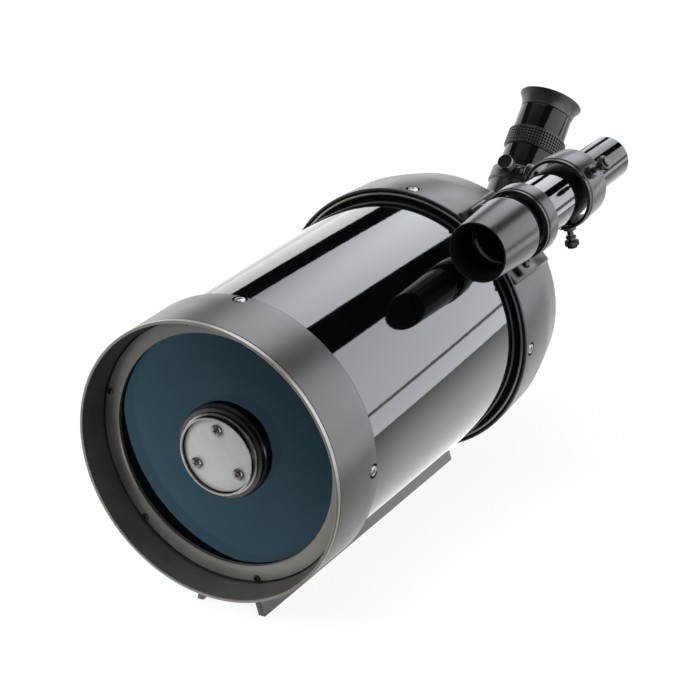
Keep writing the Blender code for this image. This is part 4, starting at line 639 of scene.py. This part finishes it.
# %% Small screws of the retaining ring
RING_SCREW_CIRCLE = 71.1 * MM
ring_screw = spun("ring_screw", [(0, 0.2), (0.75, 0.2), (0.8, 1.2, 0.1), (1.3, 1.2, 0.2), (1.7, 0.8, 0.2),
                                 (1.7, -0.4), (0, -0.4)], 24)
for i in range(6):
    angle = math.radians(166 + 60 * i)
    spot = Matrix.Translation((RING_SCREW_CIRCLE * math.sin(angle), -RING_SCREW_CIRCLE * math.cos(angle), 14.6 * MM))
    fitted(copied(ring_screw, f"ring_screw_{i}"), OPTICAL @ spot @ Matrix.Rotation(math.pi, 4, "X"), BLACK_METAL,
           "tube")
bpy.data.objects.remove(ring_screw)

# %% [markdown]
# ## Primary mirror and its slide
# Behind the corrector a concave mirror slides on a tube. It hardly shows, but the glass
# would look wrong with nothing behind it, so these are turned pieces too.

# %% Primary mirror, carrier, baffle tube and rod
primary = spun("primary", ring(
    [(66, 209, 0.4), (66, 221.7)],
    [(64, 209.2), (52, 210.38), (42, 211.16), (32, 211.78), (18.9, 212.3), (18.9, 221.7)]), 128)
fitted(primary, OPTICAL, MIRROR, "mirror", "primary_mirror")
carrier = spun("carrier", ring(
    [(18.6, 189, 0.3), (18.6, 222), (42, 222, 0.5), (42, 226, 0.5), (18.6, 226), (18.6, 234)],
    [(16.6, 189), (16.6, 234)]))
fitted(carrier, OPTICAL, BARE_METAL, "mirror", "mirror_carrier")
mirror_nut = spun("mirror_nut", ring([(24.5, 208.3, 0.4), (24.5, 211.5)], [(18.9, 208.3), (18.9, 211.5)]))
fitted(mirror_nut, OPTICAL, FLAT_BLACK_AND_SHADE, "mirror", "mirror_lock_ring")
light_baffle = spun("light_baffle", ring([(16.3, 118, 0.3), (16.3, 255.7), (20, 255.7), (20, 258.7), (16.3, 258.7),
                                          (16.3, 273.7)], [(14.8, 118), (14.8, 273.7)]))
fitted(light_baffle, OPTICAL, FLAT_BLACK_AND_SHADE, "tube", "primary_baffle_tube")
KNOB = OPTICAL @ Matrix.Translation((-31.61 * MM, 18.25 * MM, 0))
rod = spun("focus_screw", [(0, 226.3), (3, 226.3, 0.4), (3, 275, 0.4), (0, 275)], 32)
fitted(rod, KNOB, STEEL, "mirror", "focus_rod")

# %% [markdown]
# ## Blocks, bevels and arcs
# Not everything is turned. A block starts as a cube, a Bevel modifier rounds sharp edges, and an arc is worked out
# point by point for outlines with one big round corner.

# %% Blocks, bevels and arcs


def block(name, low, high, edge=0.0):
    """A box between two corners in millimetres, with bevelled edges."""
    bpy.ops.object.select_all(action="DESELECT")
    bpy.ops.mesh.primitive_cube_add(size=1)
    box = bpy.context.object
    box.name = name
    box.scale = [(b - a) * MM for a, b in zip(low, high)]
    box.location = [(a + b) / 2 * MM for a, b in zip(low, high)]
    bpy.ops.object.transform_apply(location=True, rotation=True, scale=True)
    if edge:
        bevelled(box, edge)
    return box


def bevelled(piece, width, segments=3, angle=30):
    """Round the sharp edges of a piece."""
    step = piece.modifiers.new("edge", "BEVEL")
    step.width = width * MM
    step.segments = segments
    step.limit_method = "ANGLE"
    step.angle_limit = math.radians(angle)
    only(piece)
    bpy.ops.object.modifier_apply(modifier=step.name)
    return piece


def arc(radius, station, size, start, stop, steps):
    """Outline points on an arc, with angles in degrees from outwards towards the rear."""
    points = []
    for i in range(steps + 1):
        angle = math.radians(start + (stop - start) * i / steps)
        points.append((radius + size * math.cos(angle), station + size * math.sin(angle)))
    return points


# %% [markdown]
# ## Rear cell
# A casting with a slight draft, a rounded shoulder and a threaded port. The flat pad for the finder
# stands out at its edges and cuts into the round in its middle, so one block planes the round away,
# and a bevelled block joins on below it.

# %% Rear cell
rear = spun("rear_cell_casting", ring(
    [(76.6, 202.9), (77.0, 202.2, 0.25), (77.9, 202.2, 0.3), (78.3, 203.0, 0.4), (78.1, 207), (77.8, 212),
     (76.5, 231), (73.5, 243), *arc(56.92, 251.6, 13.6, 14.4, 90, 14), (24, 265, 0.8), (24, 268, 0.4),
     (21.5, 268), (21.5, 274, 0.3)],
    [(76.4, 202.9), (75.7, 202.2, 0.3), (74.7, 202.2, 0.3), (74.4, 203.2), (73.4, 203.2), (73.4, 213.3),
     (70.4, 213.3), (70.4, 234), *arc(49.4, 238, 21, 10, 90, 8), (16.6, 259), (16.6, 274)]), 192)
rear.data.materials.append(CASTING)
# The rim's front face is flat black as painted shade. A narrow land on it takes the lighter retainer paint as a painted
# highlight line.
second_finish(rear, FLAT_BLACK_AND_SHADE, lambda centre, normal: centre.z < 203.3 and centre.xy.length < 77.1
              and not 74.6 < centre.xy.length < 75.8)
second_finish(rear, RETAINER_PAINT_AND_HIGHLIGHT, lambda centre, normal: centre.z < 202.6 and 74.6 < centre.xy.length < 75.8)
rear.matrix_world = OPTICAL
plane = block("plane", (76.3, -27, 200), (110, 27, 262))
plane.matrix_world = PAD
merged(rear, plane, "DIFFERENCE")
pad = block("pad", (72, -25.3, 203.3), (76.3, 25.3, 243.5), 1.3)
picked(pad, lambda centre, normal: normal.y > 0.9)
bpy.ops.transform.translate(value=(-1.6 * MM, 0, 0))
bpy.ops.object.mode_set(mode="OBJECT")
pad.matrix_world = PAD
merged(rear, pad, "UNION")
for letter in "abc":
    merged(rear, dish(CELL_SCREWS["rear", letter]), "DIFFERENCE")
fitted(rear, OPTICAL, CASTING, "tube", "rear_cell")
for end, finish, low, high in (("front", FRONT_PAINT, 17.3, 35), ("rear", CASTING, 202.6, 219.3)):
    saddle = block(f"{end}_saddle", (-14, 75, low), (14, 78.7, high), 0.6)
    fitted(saddle, OPTICAL, finish, "tube")

# %% [markdown]
# ## Focus knob and visual back
# The knob's rubber sleeve and the slip ring are ribbed for the fingers. The ribs come from a spin with
# as many steps as ribs: every face of the band is inset on its own and pushed in, which leaves the ribs.

# %% Focus knob and visual back


def ribbed(piece, low, high, wall, depth):
    """Push in every outward face between two stations, leaving ribs of a given wall between them."""
    picked(piece, lambda centre, normal: low < centre.z < high and abs(normal.z) < 0.3
           and centre.x * normal.x + centre.y * normal.y > 0)
    bpy.ops.mesh.inset(thickness=wall * MM, depth=-depth * MM, use_individual=True, use_even_offset=True)
    bpy.ops.object.mode_set(mode="OBJECT")
    return piece


knob = spun("focus_knob_sleeve", [(0, 266), (7.7, 266), (7.7, 268.1), (11.5, 268.1, 0.4), (11.5, 269.6), (11.5, 286),
                                  (11.5, 288.1, 1.4), (8.8, 288.1, 0.2), (8.4, 287.7), (0, 287.7)], 44)
ribbed(knob, 269.7, 285.9, 0.22, 0.55)
fitted(knob, KNOB, RUBBER, "focus_knob", "focus_knob")
collar = spun("focus_bush", ring([(11.8, 265.3), (11.8, 267.8, 0.4)], [(8, 265.3), (8, 267.8, 0.3)]), 64)
fitted(collar, KNOB, CASTING, "tube", "focus_collar")
slip_ring = spun("slip_ring", ring(
    [(23.9, 268.3), (24.4, 269.0), (24.4, 269.8), (24.4, 277.2), (24.4, 278.2), (23.8, 279.0, 0.2)],
    [(21.8, 268.3), (21.8, 276.6), (19.8, 276.6), (19.8, 279.0)]), 84)
ribbed(slip_ring, 269.9, 277.1, 0.2, 0.4)
fitted(slip_ring, OPTICAL, BLACK_METAL, "visual_back_ring", "visual_back_ring")
sleeve = spun("visual_back_sleeve", ring([(21.4, 274.3), (21.4, 276.3), (19.5, 276.3), (19.5, 295, 0.5)],
                                         [(16.15, 274.3), (16.15, 295, 0.4)]))
fitted(sleeve, OPTICAL, BLACK_METAL, "tube", "visual_back")

# %% [markdown]
# ## Thumbscrews
# Four thumbscrews. The two that clamp the barrels have a ribbed grey head with a flat black end.
# The two that aim the finder are turned like a spool: a thin collar, a ribbed disc and a button.

# %% Thumbscrews
AIM_STATION = 58
AIM_SCREW_A, AIM_SCREW_B, AIM_SPRING = 5, 125, 245
AIM_SEAT = 27.9


def clamp_screw(reach):
    """A ribbed head from its seat at zero upwards, with a shank that reaches so far below."""
    screw = spun("clamp_screw", [(0, -reach), (1.5, -reach), (1.8, -reach + 0.4), (1.8, -0.3), (2.8, 0, 0.2), (4.2, 0),
                                 (4.9, 0.7), (4.9, 1.0), (4.9, 5.0), (4.9, 5.3), (4.5, 6.2, 0.15), (4.15, 6.2, 0.1),
                                 (4.0, 5.8), (0, 5.8)], 40)
    ribbed(screw, 1.1, 4.9, 0.1, 0.22)
    screw.data.materials.append(BLACK_METAL)
    second_finish(screw, DARK_METAL, lambda centre, normal: centre.z > 0 and centre.xy.length > 4.05)
    second_finish(screw, FLAT_BLACK_AND_SHADE, lambda centre, normal: centre.z > 5.5 and centre.xy.length < 4.05)
    return screw


def aiming_screw(reach):
    """A spool of a collar, a ribbed disc and a button, with a shank that reaches so far below."""
    shank = [(0, -reach), (1.5, -reach), (1.8, -reach + 0.4), (1.8, -0.9)]
    collar = [(3.0, -0.8, 0.2), (3.0, 0.5, 0.2), (1.9, 0.7), (1.9, 1.6)]
    disc = [(3.4, 1.8, 0.2), (4.1, 2.1), (4.1, 2.3), (4.1, 4.3), (4.1, 4.5), (3.5, 4.8, 0.2)]
    button = [(2.0, 4.9), (2.0, 5.3), (2.9, 5.4, 0.2), (2.9, 6.0, 0.3), (2.2, 6.2, 0.2), (0, 6.2)]
    screw = spun("aiming_screw", [*shank, *collar, *disc, *button], 40)
    return ribbed(screw, 2.35, 4.25, 0.1, 0.2)


for name, master, place, body in (
        ("holder_thumbscrew", clamp_screw(7.8), radial(EYE, TOP, 45.5, 24.3), "diagonal_thumbscrew"),
        ("back_thumbscrew", clamp_screw(7.8), radial(OPTICAL, 40, 287.5, 24.0), "visual_back_thumbscrew"),
        ("finder_screw_a", aiming_screw(11.5), radial(FINDER, AIM_SCREW_A, AIM_STATION, AIM_SEAT),
         "finder_thumbscrew_a"),
        ("finder_screw_b", aiming_screw(11.5), radial(FINDER, AIM_SCREW_B, AIM_STATION, AIM_SEAT),
         "finder_thumbscrew_b")):
    master.name = name
    fitted(master, place, BLACK_METAL, body, body)

# %% [markdown]
# ## Diagonal
# A prism housing that turns the light up at half a right angle. Its side view is drawn, filled and extruded to
# its width, and its edges are rounded. A thin cover with four screws closes its far side.

# %% Diagonal housing, cover and nosepiece


def extruded(name, outline, low, high):
    """A closed outline of (x, z) points in millimetres, filled and extruded along Y."""
    piece = drawn(name, [Vector(p) for p in (*outline, outline[0])])
    bpy.ops.mesh.remove_doubles(threshold=MERGE)
    bpy.ops.mesh.edge_face_add()
    bpy.ops.transform.translate(value=(0, low * MM, 0))
    bpy.ops.mesh.extrude_region_move(TRANSFORM_OT_translate={"value": (0, (high - low) * MM, 0)})
    bpy.ops.mesh.select_all(action="SELECT")
    bpy.ops.mesh.normals_make_consistent(inside=False)
    bpy.ops.object.mode_set(mode="OBJECT")
    return piece


PRISM_Y = 0.2013
SIDE_VIEW = Matrix.Translation((0, PRISM_Y, AXIS_HEIGHT)) @ Matrix.Rotation(math.pi / 2, 4, "Z")
profile = [(-20, -19), (7.87, -19), (27.58, 0.71), (0.707, 27.58), (-20, 19)]
housing = bevelled(extruded("prism_housing", profile, -19, 16.7), 1.6)
fitted(housing, SIDE_VIEW, HOUSING, "diagonal", "diagonal_housing", "diagonal_prism")
cover = bevelled(extruded("prism_cover", profile, 17, 19), 0.5)
fitted(cover, SIDE_VIEW, HOUSING, "diagonal", "diagonal_side_cover")
cover_screw = cross_head("cover_screw", 1.7, 0.9, 1.0, 1.5)
for i, (x, z) in enumerate(((-16.5, -15.5), (5.5, -15.0), (-16.5, 15.0), (1.5, 22.0))):
    place = SIDE_VIEW @ Matrix.Translation((x * MM, 19 * MM, z * MM)) @ Matrix.Rotation(-math.pi / 2, 4, "X")
    fitted(copied(cover_screw, f"cover_screw_{i}"), place, STEEL, "diagonal")
bpy.data.objects.remove(cover_screw)
nose = spun("nosepiece", ring([(15.4, 277.3), (15.85, 277.8), (15.85, 295.3), (18.45, 295.3, 0.3), (18.45, 297.8, 0.2)],
                              [(13.55, 277.3), (13.55, 297.8)]))
fitted(nose, OPTICAL, BARE_METAL, "diagonal", "diagonal_nosepiece")

# %% [markdown]
# The eyepiece holder is a short turned tube with a thicker rim, where its clamp and a small set screw sit.

# %% Eyepiece holder
holder_tube = spun("eyepiece_holder", ring(
    [(18.6, 20.3), (18.6, 40.7), (19.0, 40.8), (19.8, 41.4, 0.3), (19.8, 49.2, 0.6), (18.9, 50.1, 0.3)],
    [(13.55, 20.3), (13.55, 26), (16.15, 26), (16.15, 50.1, 0.3)]))
fitted(holder_tube, EYE, BLACK_METAL, "diagonal", "diagonal_eyepiece_holder")
set_screw = cross_head("set_screw", 2.4, 2.6, 1.3, 3.5)
fitted(set_screw, radial(EYE, TOP + 16, 45.5, 20.1), BLACK_METAL, "diagonal", "diagonal_set_screw")

# %% [markdown]
# ## Eyepiece
# A gloss black body with a rubber grip and a flared rubber cup. The grip's small square studs come from
# a spin with one step per stud: each face is inset on its own and pushed out.

# %% Eyepiece
barrel = spun("eyepiece_tube", ring([(15.5, 30), (15.85, 30.4), (15.85, 50.4), (14.55, 50.4), (14.55, 54.9)],
                                    [(13.55, 30), (13.55, 54.9)]))
fitted(barrel, EYE, BARE_METAL, "eyepiece", "eyepiece_barrel")
body = spun("eyepiece_shell", ring(
    [(16.2, 50.7, 0.2), (16.6, 51.2, 0.2), (16.6, 65.1, 0.3), (15.2, 65.1), (15.2, 77.6), (16.1, 77.6, 0.3),
     (16.1, 92.8, 0.5), (14.2, 92.8), (14.2, 97.3)],
    [(14.85, 50.7), (14.85, 55.2), (13, 55.2), (13, 90.3), (11, 90.3), (11, 97.3)]), 128)
GLOSS_SHELL = new_finish("gloss_black_shell", "housing_black", (0.002, 0.002, 0.002), (0.004, 0.004, 0.004),
                         (0.06, 0.10), grain=3, lift=0.01, IOR=1.35)
fitted(body, EYE, GLOSS_SHELL, "eyepiece", "eyepiece_body")
rows = [(17.3, 65.9 + 1.79 * i) for i in range(7)]
grip = spun("eyepiece_waffle", ring([(16.4, 65.4, 0.2), (17.3, 65.5, 0.1), *rows, (17.3, 77.2, 0.1), (16.4, 77.3, 0.2)],
                                    [(15.5, 65.4), (15.5, 77.3)]), 60)
picked(grip, lambda centre, normal: 65.9 < centre.z < 76.7 and centre.xy.length > 17 and abs(normal.z) < 0.2)
bpy.ops.mesh.inset(thickness=0.3 * MM, depth=0.7 * MM, use_individual=True, use_even_offset=True)
bpy.ops.object.mode_set(mode="OBJECT")
fitted(grip, EYE, RUBBER, "eyepiece", "eyepiece_grip", smooth=20)
cup = spun("eyepiece_cup", ring(
    [(16.1, 93.1, 0.2), (16.15, 94.4), (16.5, 96.2), (17.1, 98.2), (18.0, 100.0), (19.2, 101.6), (19.3, 102.1, 0.3)],
    [(14.5, 93.1), (14.5, 97.3), (15.6, 98.6), (16.7, 100.2), (17.8, 101.8), (18.5, 102.1, 0.2)]), 112)
fitted(cup, EYE, RUBBER, "eyepiece", "eyecup")
for name, node_name, low, high, radius in (("field_glass", "eyepiece_field_lens", 55.2, 58.6, 12.7),
                                           ("eye_glass", "eyepiece_eye_lens", 90.3, 94.3, 10.7)):
    glass = spun(name, [(0, low), (radius, low, 0.2), (radius, high - 0.5), (radius * 0.6, high - 0.15), (0, high)], 64)
    fitted(glass, EYE, LENS_GLASS, "eyepiece", node_name)

# %% [markdown]
# ## Finder
# A small telescope in two rings. Its objective cell is a grey cone, with flat black inside, that screws onto
# the gloss tube against a knurled lock ring, and a rubber ring carries it in the front ring.

# %% Finder
cell = spun("finder_cell", ring(
    [(16.9, -45.6, 0.35), (18.9, -12.2), (18.9, -10.4, 0.4)],
    [(15.9, -45.6, 0.3), (15.9, -18), (13.8, -18), (13.8, -15.5), (16.3, -15.5), (16.3, -10.4)]), 128)
cell.data.materials.append(FINDER_PAINT)
second_finish(cell, FLAT_BLACK_AND_SHADE, inward)
fitted(cell, FINDER, FINDER_PAINT, "finder_objective", "finder_objective_cell")
lens = spun("finder_lens", [(0, -18.3), (15.6, -18.3), (15.6, -22.0, 0.2), (12, -22.3), (8, -22.45),
                            (4, -22.57), (0, -22.6)], 96)
fitted(lens, FINDER, LENS_GLASS, "finder_objective", "finder_objective_lens")
lens_ring = spun("finder_lens_ring", ring([(15.8, -24.0, 0.2), (15.8, -22.9)], [(14.4, -24.0, 0.3), (14.4, -22.9)]), 96)
fitted(lens_ring, FINDER, CASTING, "finder_objective")
lock = spun("finder_nut", ring([(18.0, -10.1), (18.4, -9.8), (18.4, -9.6), (18.4, -7.9), (18.4, -7.7), (18.0, -7.4)],
                               [(16.3, -10.1), (16.3, -7.4)]), 96)
ribbed(lock, -9.7, -7.8, 0.15, 0.35)
fitted(lock, FINDER, FLAT_BLACK_AND_SHADE, "finder_lock_ring", "finder_lock_ring")
finder_tube = spun("finder_main_tube", ring([(16, -15.2), (16, 70, 0.4)],
                                            [(14.6, -15.2), (14.6, 62), (13.3, 62), (13.3, 70, 0.2)]), 128)
finder_tube.data.materials.append(TUBE_GLOSS)
second_finish(finder_tube, FLAT_BLACK_AND_SHADE, inward)
fitted(finder_tube, FINDER, TUBE_GLOSS, "finder", "finder_tube")
circle = arc(17.2, 0, 0.9, -90, 270, 20)
rubber_ring = spun("finder_rubber_ring", circle, 96)
fitted(rubber_ring, FINDER, RUBBER, "finder_o_ring", "finder_o_ring")
finder_eye = spun("finder_eye_tube", ring([(13, 60), (13, 115, 0.5)],
                                          [(11.4, 60), (11.4, 109), (6.5, 109), (8.95, 115, 0.2)]), 96)
fitted(finder_eye, FINDER, GLOSS_SHELL, "finder", "finder_eyepiece")
finder_lens = spun("finder_eye_glass", [(0, 100), (11.1, 100), (11.1, 103.6), (0, 104)], 64)
fitted(finder_lens, FINDER, LENS_GLASS, "finder", "finder_eye_lens")

# %% [markdown]
# The bracket is one casting: two rings on a rail with a wide foot. Rings, rail, foot and lugs
# are shaped one by one and joined with booleans, since they meet at odd angles.

# %% Finder bracket
bracket = spun("finder_bracket_casting", ring(
    [(19.9, -2.1, 0.7), (19.9, -0.5, 0.4), (19.5, -0.2), (20.3, 0.6, 0.3), (20.3, 10, 0.5)],
    [(18.4, -2.1, 0.6), (18.4, 10, 0.4)]), 112)
back_ring = spun("back_ring", ring(
    [(20.5, 48.5, 0.8), (20.5, 50.4, 0.4), (20.1, 50.7), (20.9, 51.6, 0.4), (20.5, 60), (19.9, 70.8, 0.8)],
    [(18.7, 48.5, 0.7), (18.7, 70.8, 0.4)]), 112)
rail = block("rail", (-25.6, -8, -1.6), (-19.0, 8, 70.2), 1.2)
foot = block("foot", (-28.2, -23.5, 12), (-25.2, 23.5, 29), 1.4)
for part in (back_ring, rail, foot):
    merged(bracket, part, "UNION")
for angle in (AIM_SCREW_A, AIM_SCREW_B, AIM_SPRING):
    lug = spun("lug", [(0, 19.3), (4.4, 19.3), (3.8, 21.0), (3.8, 23.4, 0.4), (1.9, 23.4), (1.9, 22), (0, 22)], 40)
    lug.matrix_world = radial(Matrix(), angle, AIM_STATION)
    merged(bracket, lug, "UNION")
fitted(bracket, FINDER, FINDER_PAINT, "tube", "finder_bracket")
foot_screw = cross_head("foot_screw", 2.9, 2.2, 1.9, 4.0)
for letter, side in (("a", 19), ("b", -19)):
    place = FINDER @ Matrix.Translation((-25.1 * MM, side * MM, 20.5 * MM)) @ Matrix.Rotation(math.pi / 2, 4, "Y")
    fitted(copied(foot_screw, f"foot_screw_{letter}"), place, BLACK_METAL, "tube", f"finder_bracket_screw_{letter}")
bpy.data.objects.remove(foot_screw)
plunger = spun("spring_plunger", [(0, 17.6), (1.2, 17.6, 0.3), (1.8, 18.4), (1.8, 23.6), (3.2, 23.6, 0.2),
                                  (3.2, 24.6, 0.3), (2.6, 25.2, 0.2), (0, 25.2)], 36)
fitted(plunger, radial(FINDER, AIM_SPRING, AIM_STATION), BLACK_METAL, "tube", "finder_spring_plunger")

# %% [markdown]
# ## Mounting bar
# An extruded dovetail with a channel underneath. Its section is drawn, filled and pulled to length,
# a block in the channel takes the two tripod threads, and its edges are broken with a small bevel.

# %% Mounting bar
section = [(21.2, 0), (17.96, 12.1), (-17.96, 12.1), (-21.2, 0), (-17.2, 0), (-15.19, 7.5), (15.19, 7.5), (17.2, 0)]
HALF_BAR = 102.5
bar = bevelled(extruded("mounting_bar", section, -HALF_BAR, HALF_BAR), 0.4, 2)
boss = block("boss", (-17.4, -35, 0.3), (17.4, 35, 9), 0.5)
merged(bar, boss, "UNION")
for side in (-20, 20):
    tapped = spun("tapped", [(0, -1), (4.0, -1), (4.0, 0.2), (3.2, 1.0), (3.2, 11), (0, 11)], 40)
    tapped.location = (0, side * MM, 0)
    merged(bar, tapped, "DIFFERENCE")
fitted(bar, Matrix(), BAR_BLACK, "tube", "dovetail_bar")
bar_screw = cross_head("bar_screw", 4.2, 3.0, 2.4, 6.0)
for end, y in (("front", -94.3), ("rear", 94.2)):
    place = Matrix.Translation((0, y * MM, 7.2 * MM)) @ Matrix.Rotation(math.pi, 4, "X")
    fitted(copied(bar_screw, f"bar_screw_{end}"), place, STEEL, "tube", f"dovetail_screw_{end}")
bpy.data.objects.remove(bar_screw)
